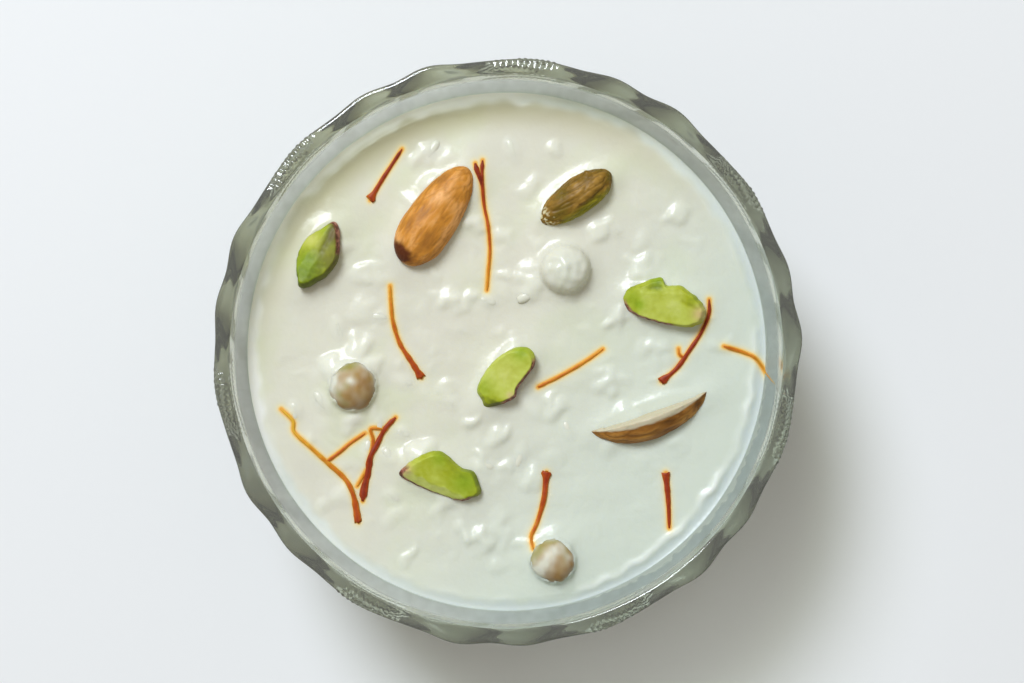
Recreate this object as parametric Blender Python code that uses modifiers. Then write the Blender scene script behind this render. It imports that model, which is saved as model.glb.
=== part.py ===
"""A bowl of kheer: a pressed-glass bowl with swirled flutes, the rice pudding that fills it, and on the
pudding an almond, a split almond, a raisin, four cut pistachios and three plumped raisins.

Metres, +Z up. The origin is on the table, under the middle of the bowl's foot.
"""

import math

import bmesh
import bpy
from mathutils import Vector, noise

MM = 0.001

# Glass bowl: the turned wall.
RIM_HEIGHT = 52.0 * MM
LIP_RADIUS = 56.7 * MM  # to the middle of the lip
LIP_THICKNESS = 2.6 * MM
FOOT_RADIUS = 29.5 * MM
FOOT_HEIGHT = 3.0 * MM
FOOT_RING_WIDTH = 8.0 * MM
FOOT_RECESS = 1.0 * MM
FOOT_EDGE = 0.6 * MM  # chamfer between the foot's side and its ring
FLOOR_HEIGHT = 6.0 * MM  # inside, at the middle
OUTER_POWER = 0.4  # rounds the outside from foot to lip
INNER_POWER = 0.186  # rounds the inside from floor to lip
BOWL_STEPS = 105  # five to a flute
LIP_SIDES = 4
OUTER_RINGS = (0.985, 0.9, 0.77, 0.6, 0.42, 0.25, 0.1)  # shares of the height from foot to lip
INNER_RINGS = (0.004, 0.03, 0.11, 0.27, 0.5, 0.78)  # shares of the height from floor to lip

# Glass bowl: the flutes. A group of three lobes repeats round the bowl and winds as it goes down.
FLUTE_GROUPS = 7
FLUTE_LOBES = (  # middle and half width as shares of a group, and how far the lobe stands proud
    (0.058, 0.160, 2.5 * MM),
    (0.321, 0.150, 2.1 * MM),
    (0.642, 0.200, 1.9 * MM),
)
SHOULDER_HEIGHT = 46.0 * MM  # the flutes are deepest here
FLUTE_TOP = 50.0 * MM
FLUTE_WIND = math.radians(0.8) / MM  # turn for each metre down
FLUTE_FOOT_SHARE = 0.25  # of their depth that is left where they meet the foot

# Pudding
GAP = 0.3 * MM  # between pieces that touch
FILL_HEIGHT = 41.2 * MM
FILL_STEPS = 50
FILL_RINGS = (0.2, 0.4, 0.58, 0.75, 0.89)  # shares of the surface's radius
WAVE_LENGTH = 17.0 * MM  # of the surface's unevenness
WAVE_HEIGHT = 0.7 * MM
WAVE_CALM_POWER = 4  # the higher, the nearer to the glass the waves run

# Garnish: place across the bowl, height of the middle, and bearing of the long axis.
ALMOND_SIZE = (23.4 * MM, 10.2 * MM, 7.6 * MM)
ALMOND_PLACE = (-14.5 * MM, 27.7 * MM, 42.5 * MM)
ALMOND_TURN = (6.0, 2.0, 55.7)
ALMOND_TAPER = 0.17
ALMOND_FULLNESS = 2.6
HALF_ALMOND_SIZE = (25.2 * MM, 10.5 * MM, 6.0 * MM)
HALF_ALMOND_PLACE = (29.0 * MM, -12.1 * MM, 41.2 * MM)
HALF_ALMOND_TURN = (-75.0, 0.0, 19.2)
HALF_ALMOND_TAPER = 0.04
HALF_ALMOND_SHARPNESS = 0.68
RAISIN_SIZE = (17.3 * MM, 7.5 * MM, 6.6 * MM)
RAISIN_PLACE = (14.1 * MM, 31.3 * MM, 42.6 * MM)
RAISIN_TURN = (0.0, -3.0, 35.0)
RAISIN_TAPER = -0.06
RAISIN_FULLNESS = 2.2
RAISIN_SHARPNESS = 0.55
PLUMP_RAISINS = (  # size, place, bearing
    ((10.0 * MM, 9.6 * MM, 8.6 * MM), (11.9 * MM, 16.8 * MM, 41.7 * MM), 20.0),
    ((10.5 * MM, 9.9 * MM, 8.8 * MM), (-31.3 * MM, -7.0 * MM, 41.6 * MM), 75.0),
    ((9.6 * MM, 9.2 * MM, 8.2 * MM), (9.4 * MM, -42.4 * MM, 41.6 * MM), -30.0),
)
PLUMP_FULLNESS = 2.2
SPHERE_SEGMENTS = 14
SPHERE_RINGS = 8
POLE_GIRTH = 0.001  # of a unit sphere, below which a point counts as its pole

# Cut pistachios: outline of the cut face about its middle, thickness, place and turn.
PISTACHIO_BEVEL = 0.45 * MM
PISTACHIO_SECTIONS = (  # from the cut face down: width against the widest, height as a share of the thickness
    (0.9, 0.5),
    (1.0, 0.2),
    (0.9, -0.22),
    (0.62, -0.5),
)
PISTACHIOS = (
    (
        [(-7.5, 0.0), (-4.6, -2.7), (-2.0, -3.9), (1.7, -3.9), (6.3, -1.5), (7.5, 0.3), (4.9, 2.1),
         (1.9, 3.9), (-2.8, 3.6)],
        5.0 * MM,
        (-38.0 * MM, 19.4 * MM, 42.3 * MM),
        (-14.0, 3.0, 62.0),
    ),
    (
        [(-8.5, -1.6), (-6.3, -3.6), (-0.8, -4.5), (5.0, -4.5), (8.2, -2.8), (7.6, 0.7), (2.9, 3.5),
         (-0.3, 3.2), (-1.8, 4.6), (-5.3, 2.9), (-8.0, 0.9)],
        4.6 * MM,
        (32.5 * MM, 10.4 * MM, 42.4 * MM),
        (8.0, -3.0, -10.0),
    ),
    (
        [(-7.2, -0.9), (-2.6, -4.0), (-0.1, -3.3), (5.4, -3.1), (7.2, -1.3), (7.1, 0.7), (5.3, 2.5),
         (0.6, 4.0), (-5.2, 3.3), (-6.8, 0.9)],
        4.4 * MM,
        (0.0 * MM, -5.1 * MM, 42.4 * MM),
        (-5.0, -4.0, 52.0),
    ),
    (
        [(-8.4, -1.8), (-6.8, -3.4), (-0.2, -4.2), (5.1, -4.0), (8.4, -1.3), (7.6, 0.7), (5.9, 2.5),
         (3.2, 2.6), (-1.9, 4.5), (-5.6, 2.2)],
        4.6 * MM,
        (-13.1 * MM, -24.8 * MM, 42.4 * MM),
        (10.0, 2.0, -18.0),
    ),
)

# Finishes: colour, roughness and transmission
FINISHES = {
    "pressed_glass": ((0.72, 0.78, 0.7), 0.05, 1.0),
    "rice_pudding": ((0.8, 0.82, 0.71), 0.3, 0.0),
    "almond_skin": ((0.62, 0.28, 0.07), 0.5, 0.0),
    "raisin_skin": ((0.25, 0.14, 0.03), 0.35, 0.0),
    "plump_raisin_skin": ((0.45, 0.33, 0.16), 0.3, 0.0),
    "pistachio_flesh": ((0.42, 0.5, 0.07), 0.45, 0.0),
}
GLASS_EDGE_ANGLE = math.radians(35)  # sharper edges than these stay sharp
PUDDING_EDGE_ANGLE = math.radians(50)
KERNEL_EDGE_ANGLE = math.radians(60)

LIP_BASE = RIM_HEIGHT - LIP_THICKNESS / 2
OUTER_LIP_RADIUS = LIP_RADIUS + LIP_THICKNESS / 2
INNER_LIP_RADIUS = LIP_RADIUS - LIP_THICKNESS / 2


def outer_radius(height):
    """The outside of the turned wall, before the flutes."""
    share = (height - FOOT_HEIGHT) / (LIP_BASE - FOOT_HEIGHT)
    return FOOT_RADIUS + (OUTER_LIP_RADIUS - FOOT_RADIUS) * max(share, 0.0) ** OUTER_POWER


def inner_radius(height):
    share = (height - FLOOR_HEIGHT) / (LIP_BASE - FLOOR_HEIGHT)
    return INNER_LIP_RADIUS * max(share, 0.0) ** INNER_POWER


def flute_fade(height):
    """1 at the shoulder, 0 at the lip, and a low share at the foot."""
    if height >= SHOULDER_HEIGHT:
        return max((FLUTE_TOP - height) / (FLUTE_TOP - SHOULDER_HEIGHT), 0.0)
    share = (height - FOOT_HEIGHT) / (SHOULDER_HEIGHT - FOOT_HEIGHT)
    return FLUTE_FOOT_SHARE + (1.0 - FLUTE_FOOT_SHARE) * share


def flute_relief(angle, height):
    """How far the flutes stand proud of the turned wall."""
    turned = angle - FLUTE_WIND * (SHOULDER_HEIGHT - height)
    share = turned * FLUTE_GROUPS / math.tau
    relief = 0.0
    for middle, half_width, proud in FLUTE_LOBES:
        away = abs((share - middle + 0.5) % 1.0 - 0.5)
        if away < half_width:
            relief = max(relief, proud * math.cos(math.pi / 2 * away / half_width))
    return relief * flute_fade(height)


def collection(name):
    made = bpy.data.collections.new(name)
    bpy.context.scene.collection.children.link(made)
    return made


def material(name):
    color, roughness, transmission = FINISHES[name]
    made = bpy.data.materials.new(name)
    made.use_nodes = True
    shader = made.node_tree.nodes["Principled BSDF"]
    shader.inputs["Base Color"].default_value = (*color, 1.0)
    shader.inputs["Roughness"].default_value = roughness
    shader.inputs["Transmission Weight"].default_value = transmission
    made.diffuse_color = (*color, 1.0)
    return made


def add_object(name, mesh, group, parent=None, finish=None):
    obj = bpy.data.objects.new(name, mesh)
    group.objects.link(obj)
    obj.parent = parent
    if finish:
        mesh.materials.clear()
        mesh.materials.append(finish)
    return obj


def turned_mesh(name, profile, steps):
    """The mesh that a profile of (radius, height) points makes when it is turned about Z."""
    mesh = bpy.data.meshes.new(name + "_profile")
    points = [(radius, 0.0, height) for radius, height in profile]
    mesh.from_pydata(points, [(i, i + 1) for i in range(len(points) - 1)], [])
    guide = bpy.data.objects.new(name + "_profile", mesh)
    bpy.context.scene.collection.objects.link(guide)
    screw = guide.modifiers.new("Turn", "SCREW")
    screw.steps = steps
    screw.render_steps = steps
    screw.use_merge_vertices = True
    screw.merge_threshold = 0.01 * MM
    evaluated = guide.evaluated_get(bpy.context.evaluated_depsgraph_get())
    solid = bpy.data.meshes.new_from_object(evaluated)
    solid.name = name
    bpy.data.objects.remove(guide)
    return solid


def inner_wall():
    """The inside's rings from the floor upwards, as (radius, height)."""
    heights = [FLOOR_HEIGHT + share * (LIP_BASE - FLOOR_HEIGHT) for share in INNER_RINGS]
    return [(inner_radius(height), height) for height in heights]


def bowl_mesh():
    """The inside, the lip, the outside and the foot, turned in one piece and then fluted."""
    inside = [(0.0, FLOOR_HEIGHT)] + inner_wall()
    lip = []
    for i in range(LIP_SIDES + 1):
        turn = math.pi * (1.0 - i / LIP_SIDES)
        radius = LIP_RADIUS + LIP_THICKNESS / 2 * math.cos(turn)
        lip.append((radius, LIP_BASE + LIP_THICKNESS / 2 * math.sin(turn)))
    outside = []
    for share in OUTER_RINGS:
        height = FOOT_HEIGHT + share * (LIP_BASE - FOOT_HEIGHT)
        outside.append((outer_radius(height), height))
    ring = FOOT_RADIUS - FOOT_RING_WIDTH
    foot = [
        (FOOT_RADIUS, FOOT_HEIGHT),
        (FOOT_RADIUS, FOOT_EDGE),
        (FOOT_RADIUS - FOOT_EDGE, 0.0),
        (ring, 0.0),
        (ring - FOOT_RECESS, FOOT_RECESS),
        (0.0, FOOT_RECESS),
    ]
    mesh = turned_mesh("bowl", inside + lip + outside + foot, BOWL_STEPS)
    for vertex in mesh.vertices:
        x, y, height = vertex.co
        radius = math.hypot(x, y)
        if FOOT_HEIGHT < height < FLUTE_TOP and radius > (inner_radius(height) + outer_radius(height)) / 2:
            relief = flute_relief(math.atan2(y, x), height)
            vertex.co.x += relief * x / radius
            vertex.co.y += relief * y / radius
    mesh.shade_smooth()
    mesh.set_sharp_from_angle(angle=GLASS_EDGE_ANGLE)
    return mesh


def pudding_mesh():
    """The pudding fills the bowl to FILL_HEIGHT, GAP clear of the glass, with soft waves on top."""
    edge = inner_radius(FILL_HEIGHT) - GAP
    top = [(0.0, FILL_HEIGHT)] + [(edge * share, FILL_HEIGHT) for share in FILL_RINGS]
    wall = [(radius - GAP, height + GAP) for radius, height in inner_wall()]
    side = [point for point in reversed(wall) if point[1] < FILL_HEIGHT - GAP]
    base = (0.0, FLOOR_HEIGHT + GAP)
    mesh = turned_mesh("kheer", top + [(edge, FILL_HEIGHT)] + side + [base], FILL_STEPS)
    for vertex in mesh.vertices:
        if vertex.co.z > FILL_HEIGHT - GAP:
            radius = math.hypot(vertex.co.x, vertex.co.y)
            calm = 1.0 - (radius / edge) ** WAVE_CALM_POWER
            vertex.co.z += WAVE_HEIGHT * calm * noise.noise(vertex.co / WAVE_LENGTH)
    mesh.shade_smooth()
    mesh.set_sharp_from_angle(angle=PUDDING_EDGE_ANGLE)
    return mesh


def kernel_mesh(name, size, taper=0.0, fullness=2.0, sharpness=0.5, split=False):
    """A nut or raisin along X, half as thick and flat on top if split.

    taper narrows the +X end. A fullness over 2 fills out both ends, and a sharpness over 0.5 points them.
    """
    length, width, thickness = size
    bm = bmesh.new()
    bmesh.ops.create_uvsphere(bm, u_segments=SPHERE_SEGMENTS, v_segments=SPHERE_RINGS, radius=1.0)
    for vertex in bm.verts:
        across, up, along = vertex.co
        round_girth = math.hypot(across, up)
        girth = (1.0 - min(abs(along), 1.0) ** fullness) ** sharpness * (1.0 - taper * along)
        scale = girth / round_girth if round_girth > POLE_GIRTH else 0.0
        height = up * thickness / 2 * scale
        if split:
            height = min(up, 0.0) * thickness * scale
        vertex.co = Vector((along * length / 2, across * width / 2 * scale, height))
    mesh = bpy.data.meshes.new(name)
    bm.to_mesh(mesh)
    bm.free()
    mesh.shade_smooth()
    mesh.set_sharp_from_angle(angle=KERNEL_EDGE_ANGLE)
    return mesh


def pistachio_mesh(name, outline, thickness):
    """A slice of a pistachio: the cut face on top, the widest section below it, and a rounded skin side."""
    bm = bmesh.new()
    rings = []
    for width, height in PISTACHIO_SECTIONS:
        scale = width * MM
        rings.append([bm.verts.new((x * scale, y * scale, height * thickness)) for x, y in outline])
    for upper, lower in zip(rings, rings[1:]):
        for i in range(len(outline)):
            j = (i + 1) % len(outline)
            bm.faces.new((upper[i], lower[i], lower[j], upper[j]))
    bm.faces.new(rings[0])
    bm.faces.new(list(reversed(rings[-1])))
    mesh = bpy.data.meshes.new(name)
    bm.to_mesh(mesh)
    bm.free()
    return mesh


def place(obj, where, turn):
    obj.location = where
    obj.rotation_euler = [math.radians(degrees) for degrees in turn]


def cut_out(pudding, piece, cutters):
    """Cuts the pudding round a piece of the garnish, GAP clear of it."""
    cutter = piece.copy()
    cutter.name = piece.name + "_cutter"
    cutter.parent = None
    cutters.objects.link(cutter)
    grow = cutter.modifiers.new("Grow", "DISPLACE")
    grow.strength = GAP
    grow.mid_level = 0.0
    cutter.hide_render = True
    cutter.display_type = "WIRE"
    cut = pudding.modifiers.new("Cut " + piece.name, "BOOLEAN")
    cut.operation = "DIFFERENCE"
    cut.solver = "EXACT"
    cut.object = cutter


def garnish_pieces(parts, root):
    """The nuts and raisins, each at its place."""
    almond_skin = material("almond_skin")
    raisin_skin = material("raisin_skin")
    plump_skin = material("plump_raisin_skin")
    pistachio_flesh = material("pistachio_flesh")
    pieces = []

    mesh = kernel_mesh("almond_whole", ALMOND_SIZE, taper=ALMOND_TAPER, fullness=ALMOND_FULLNESS)
    almond = add_object("almond_whole", mesh, parts, root, almond_skin)
    place(almond, ALMOND_PLACE, ALMOND_TURN)
    pieces.append(almond)

    mesh = kernel_mesh(
        "almond_half", HALF_ALMOND_SIZE, HALF_ALMOND_TAPER, sharpness=HALF_ALMOND_SHARPNESS, split=True
    )
    half = add_object("almond_half", mesh, parts, root, almond_skin)
    place(half, HALF_ALMOND_PLACE, HALF_ALMOND_TURN)
    pieces.append(half)

    mesh = kernel_mesh("raisin", RAISIN_SIZE, RAISIN_TAPER, RAISIN_FULLNESS, RAISIN_SHARPNESS)
    raisin = add_object("raisin", mesh, parts, root, raisin_skin)
    place(raisin, RAISIN_PLACE, RAISIN_TURN)
    pieces.append(raisin)

    for number, (size, where, bearing) in enumerate(PLUMP_RAISINS, start=1):
        name = f"plump_raisin_{number}"
        plump = add_object(name, kernel_mesh(name, size, fullness=PLUMP_FULLNESS), parts, root, plump_skin)
        place(plump, where, (0.0, 0.0, bearing))
        pieces.append(plump)

    for number, (outline, thickness, where, turn) in enumerate(PISTACHIOS, start=1):
        name = f"pistachio_{number}"
        pistachio = add_object(name, pistachio_mesh(name, outline, thickness), parts, root, pistachio_flesh)
        place(pistachio, where, turn)
        bevel = pistachio.modifiers.new("Soft edges", "BEVEL")
        bevel.width = PISTACHIO_BEVEL
        bevel.segments = 1
        pieces.append(pistachio)
    return pieces


def main():
    for obj in list(bpy.data.objects):
        bpy.data.objects.remove(obj)
    parts = collection("kheer_bowl")
    cutters = collection("cutters")
    root = bpy.data.objects.new("kheer_bowl_origin", None)
    parts.objects.link(root)

    add_object("bowl", bowl_mesh(), parts, root, material("pressed_glass"))
    pudding = add_object("kheer", pudding_mesh(), parts, root, material("rice_pudding"))
    for piece in garnish_pieces(parts, root):
        cut_out(pudding, piece, cutters)


main()
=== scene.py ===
"""Looks of a pressed-glass bowl of kheer: the glass, the rice pudding with its grains and the milk that it
leaves on the glass, two almonds, a raisin, three plumped raisins, four cut pistachios and saffron.

A Blender script. It registers the panel "Kheer bowl" in the 3D view's sidebar and builds every piece around
the packed part. Lengths are in metres and angles in radians, unless a comment says otherwise.
"""

import math
from collections import namedtuple

import bmesh
import bpy
import numpy as np
from bpy.props import FloatProperty, FloatVectorProperty, IntProperty, PointerProperty
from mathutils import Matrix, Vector, noise


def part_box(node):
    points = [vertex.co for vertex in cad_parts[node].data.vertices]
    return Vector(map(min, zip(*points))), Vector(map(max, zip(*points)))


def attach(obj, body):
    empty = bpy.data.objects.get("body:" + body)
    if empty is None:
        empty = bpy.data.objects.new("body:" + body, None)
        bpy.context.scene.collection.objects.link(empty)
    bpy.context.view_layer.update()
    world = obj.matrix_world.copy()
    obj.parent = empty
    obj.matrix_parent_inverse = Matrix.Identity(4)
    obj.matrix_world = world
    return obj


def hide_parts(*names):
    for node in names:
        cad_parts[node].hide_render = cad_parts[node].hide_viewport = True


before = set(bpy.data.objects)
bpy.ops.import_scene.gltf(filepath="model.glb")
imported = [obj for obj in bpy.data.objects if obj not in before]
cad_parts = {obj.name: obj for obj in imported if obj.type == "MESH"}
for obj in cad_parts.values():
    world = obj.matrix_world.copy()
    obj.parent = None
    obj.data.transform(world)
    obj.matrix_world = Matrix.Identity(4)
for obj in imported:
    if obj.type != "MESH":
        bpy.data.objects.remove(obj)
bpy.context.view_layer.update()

bl_info = {
    "name": "Kheer bowl",
    "version": (1, 0, 0),
    "blender": (4, 5, 0),
    "location": "3D View > Sidebar > Kheer bowl",
    "description": "Builds a glass bowl of kheer with its garnish, piece by piece",
    "category": "Object",
}

MM = 0.001

# Glass bowl: the turned wall, as the packed part has it
RIM_HEIGHT = 52.0 * MM
LIP_RADIUS = 56.7 * MM  # to the middle of the lip
LIP_THICKNESS = 2.6 * MM
FOOT_RADIUS = 29.5 * MM
FOOT_HEIGHT = 3.0 * MM
FOOT_RING_WIDTH = 8.0 * MM
FOOT_RECESS = 1.0 * MM
FOOT_EDGE = 0.6 * MM
FLOOR_HEIGHT = 6.0 * MM
OUTER_POWER = 0.4
INNER_POWER = 0.186
FLUTE_GROUPS = 7
FLUTE_LOBES = (  # middle and half width as shares of a group, and how far the lobe stands proud
    (0.058, 0.160, 2.5 * MM),
    (0.321, 0.150, 2.1 * MM),
    (0.642, 0.200, 1.9 * MM),
)
SHOULDER_HEIGHT = 46.0 * MM
FLUTE_WIND = math.radians(0.8) / MM
FLUTE_FOOT_SHARE = 0.25
LIP_BASE = RIM_HEIGHT - LIP_THICKNESS / 2
OUTER_LIP_RADIUS = LIP_RADIUS + LIP_THICKNESS / 2
INNER_LIP_RADIUS = LIP_RADIUS - LIP_THICKNESS / 2

# Glass bowl: what the looks add
INNER_CORNER = (0.8 * MM, 0.4 * MM)  # the lip's fire-polished corners: how wide and how deep
OUTER_CORNER = (1.0 * MM, 0.5 * MM)
LIP_CORNER_POINTS = 6
INSIDE_RINGS = 16
INSIDE_SPREAD = 2.0  # power that gathers the inside's rings near the floor
PANEL = (0.535, 0.845)  # the pebbled panel's edges as shares of a flute group
PANEL_BOTTOM = 30.0 * MM
PANEL_PEBBLES = 14
PEBBLE_COLUMNS = 6  # mesh columns from one pebble to the next
PEBBLE_ROWS = 10  # mesh rows from one course of pebbles to the next
PEBBLE_CELLS = 3  # a pebble's half width in mesh columns and rows
TICK_WIDTH = 2.3 * MM  # how far the lip's outer corner reaches in over a panel, where short ticks cross it
TICK_DEPTH = 0.3 * MM
PANEL_ROW = 0.24 * MM
PLAIN_COLUMNS = 30
PLAIN_ROWS = 18  # below the panels
GLASS_EDGE_ANGLE = math.radians(35)
FLUTE_BLEND = 1.0 * MM  # how softly the flutes run out into the turned wall
FLUTE_SINK = 0.3 * MM  # how far they have sunk back at the lip

# Pudding
FILL_HEIGHT = 41.2 * MM
GLASS_SINK = 0.15 * MM  # how far the pudding reaches into the glass, so that no gap shows
TOP_CELLS = 280  # mesh cells across the top
SIDE_RINGS = 12
MAP_CELL = 0.25 * MM
MAP_REACH = 56.0 * MM
SOFTENING = 0.3 * MM  # blur that the milk over the grains gives them
SHORE_RADIUS = 50.6 * MM  # where the pudding thins out to milk on the glass
SHORE_DROP = 0.7 * MM  # how far it has sunk by the glass
SHORE_RISE = 0.6 * MM  # the ridge that it leaves there
WALL_CLIMB = 0.35 * MM  # how far the milk climbs the glass
WALL_REACH = 0.6 * MM
FILM_BEARING = math.radians(-38)  # middle of the stretch where milk has run up the glass
FILM_SPREAD = math.radians(34)
GLASS_SHADE_BEARING = math.radians(112)  # where the pudding by the glass is painted yellowest, as the glass wall's shade on the lamp's side
FILM_TOP = 49.0 * MM  # how high the haze of milk reaches on the glass
FILM_CLIMB = 3.2 * MM  # how high the milk that has run up it reaches
FILM_THICKNESS = 0.12 * MM
CLING_SKIN = 0.2 * MM  # how thickly the pudding clings to a ball
CLING_BLEND = 0.8 * MM  # how softly the skin over a ball runs out into the pudding
CLING_LUMPS = 0.11 * MM
COATED_REACH = 4.4 * MM  # how far the cooler milk reaches round the coated ball
COOL_FROM, COOL_TO = -10 * MM, 40 * MM  # towards FILM_BEARING the pudding turns cooler
GLASS_SHADE_FROM, GLASS_SHADE_TO = 43 * MM, 50 * MM  # radii between which the yellow tinge of the glass wall's painted shade sets in
HAZE_MEAN, HAZE_SWING = 0.69, 0.08  # how thick the haze on the glass is, and how that varies round the bowl
FILM_SIDES = 900
FILM_RINGS = 24
GRAIN_RINGS = 7
GRAIN_SIDES = 10
GRAIN_FLATNESS = 0.64  # a loose grain's thickness against its width

# Garnish sizes and turns, as the packed part has them. Places come from the frame.
ALMOND_SIZE = (23.4 * MM, 10.2 * MM, 7.6 * MM)
ALMOND_TURN = (6.0, 2.0, 55.7)
HALF_ALMOND_SIZE = (25.2 * MM, 10.5 * MM, 6.0 * MM)
HALF_ALMOND_TURN = (-75.0, 0.0, 19.2)
RAISIN_SIZE = (17.3 * MM, 7.5 * MM, 6.6 * MM)
RAISIN_TURN = (0.0, -3.0, 35.0)

# Swollen raisins: size, bearing, how far the pudding climbs round it, how high it clings to it, how much milk
# coats it all over, and dabs of thicker milk as (x, y, radius, amount) in millimetres from its middle.
PlumpRaisin = namedtuple("PlumpRaisin", "size bearing collar cling milk dabs")
PLUMP_RAISINS = (
    PlumpRaisin((10.0 * MM, 9.6 * MM, 8.6 * MM), 20.0, 2.2 * MM, 9.0 * MM, 0.93, ((-0.9, 0.4, 1.8, 0.2),)),
    # The second ball's dab just up and left of its middle, at (-0.4, 1.0), is a painted highlight.
    PlumpRaisin((10.5 * MM, 9.9 * MM, 8.8 * MM), 75.0, 1.5 * MM, 1.9 * MM, 0.06,
                ((-4.6, 0.8, 2.0, 1.3), (-0.4, 1.0, 1.0, 0.95), (-3.4, -2.8, 1.6, 0.4),
                 (2.4, 3.6, 1.5, 0.3))),
    PlumpRaisin((9.6 * MM, 9.2 * MM, 8.2 * MM), -30.0, 1.5 * MM, 1.9 * MM, 0.12,
                ((-0.3, 1.3, 1.3, 0.9), (-1.4, -0.4, 1.4, 1.0), (-3.2, -2.2, 1.6, 1.1), (1.4, 2.8, 1.3, 0.5),
                 (3.4, 0.6, 1.1, 0.35))),
)

# Cut pistachios. Lengths in this table are in millimetres and angles in degrees.
# outline: of the cut face. facets: where the knife tilted, as (bearing, distance from the middle, slope,
# tone). grooves: (x, y, x, y, width, depth). dabs: (x, y, radius, tone, green, tan). skin: bearings between
# which the purple skin is left on the side. The tones of facets and dabs are partly the flesh's own colour
# and partly painted light and shade.
Pistachio = namedtuple("Pistachio", "outline thickness turn tone facets grooves dabs skin")
PISTACHIOS = (
    Pistachio(
        outline=((-7.5, 0.0), (-4.6, -2.7), (-2.0, -3.9), (1.7, -3.9), (6.3, -1.5), (7.5, 0.3), (4.9, 2.1),
                 (1.9, 3.9), (-2.8, 3.6)),
        thickness=5.0,
        turn=(-14.0, 3.0, 62.0),
        tone=-0.36,
        facets=((80, 1.3, 0.32, 0.14), (-95, 0.9, 0.25, -0.10)),
        grooves=((7.0, -0.6, 1.0, -0.8, 0.7, 0.2),),
        dabs=((2.2, 2.6, 1.8, 0.75, 0.0, 0.25), (5.2, 0.9, 1.5, 0.35, 0.5, 0.0),
              (-4.5, 0.6, 3.4, 0.12, 1.0, 0.0), (-1.2, 0.6, 1.9, 0.05, 0.6, 0.0),
              (5.2, -1.3, 1.4, -0.5, 0.0, 0.2), (1.0, -2.2, 2.4, 0.1, 0.0, 0.1)),
        skin=(-62, 8),
    ),
    Pistachio(
        outline=((-8.5, -1.6), (-6.3, -3.6), (-0.8, -4.5), (5.0, -4.5), (8.2, -2.8), (7.6, 0.7), (2.9, 3.5),
                 (-0.3, 3.2), (-1.8, 4.6), (-5.3, 2.9), (-8.0, 0.9)),
        thickness=4.6,
        turn=(8.0, -3.0, -10.0),
        tone=0.34,
        facets=((98, 1.7, 0.35, -0.18), (185, 5.2, 0.40, -0.15)),
        grooves=((-5.2, 2.0, -1.5, 2.6, 0.5, 0.12), (3.5, 0.6, 6.6, -0.4, 0.45, 0.15)),
        dabs=((-2.4, 3.7, 1.7, -0.25, 1.0, 0.0), (-6.8, -0.4, 2.2, -0.1, 0.7, 0.0),
              (-5.0, -1.6, 1.1, -0.3, 0.8, 0.0), (7.3, -1.2, 1.5, 0.1, 0.0, 0.9),
              (5.5, 1.2, 1.3, -0.45, 0.3, 0.0), (1.5, -1.5, 3.0, 0.2, 0.0, 0.0)),
        skin=(-170, -62),
    ),
    Pistachio(
        outline=((-7.2, -0.9), (-2.6, -4.0), (-0.1, -3.3), (5.4, -3.1), (7.2, -1.3), (7.1, 0.7), (5.3, 2.5),
                 (0.6, 4.0), (-5.2, 3.3), (-6.8, 0.9)),
        thickness=4.4,
        turn=(-5.0, -4.0, 52.0),
        tone=0.36,
        facets=((205, 5.0, 0.4, -0.35), (20, 5.2, 0.3, -0.1)),
        grooves=(),
        dabs=((5.9, 0.6, 1.8, -0.35, 0.9, 0.0), (-4.6, 2.2, 2.2, -0.15, 0.6, 0.0),
              (-5.2, -1.4, 1.6, -0.5, 0.2, 0.0),
              (0.6, 0.2, 2.6, 0.15, 0.0, 0.1), (-2.3, -3.2, 0.8, 0.2, 0.0, 0.8)),
        skin=(-150, -20),
    ),
    Pistachio(
        outline=((-8.4, -1.8), (-6.8, -3.4), (-0.2, -4.2), (5.1, -4.0), (8.4, -1.3), (7.6, 0.7), (5.9, 2.5),
                 (3.2, 2.6), (-1.9, 4.5), (-5.6, 2.2)),
        thickness=4.6,
        turn=(10.0, 2.0, -18.0),
        tone=0.16,
        facets=((-97, 1.9, 0.6, 0.55), (68, 2.2, 0.3, -0.15)),
        grooves=(),
        dabs=((4.8, 0.4, 3.0, -0.05, 1.0, 0.0), (-7.6, -1.0, 1.3, 0.35, 0.0, 1.0),
              (5.4, -2.6, 0.9, 0.45, 0.0, 0.0),
              (-1.6, 3.4, 1.8, -0.15, 0.8, 0.0), (6.3, -3.6, 1.4, -0.9, 0.0, 0.0)),
        skin=(-176, -20),
    ),
)

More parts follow.
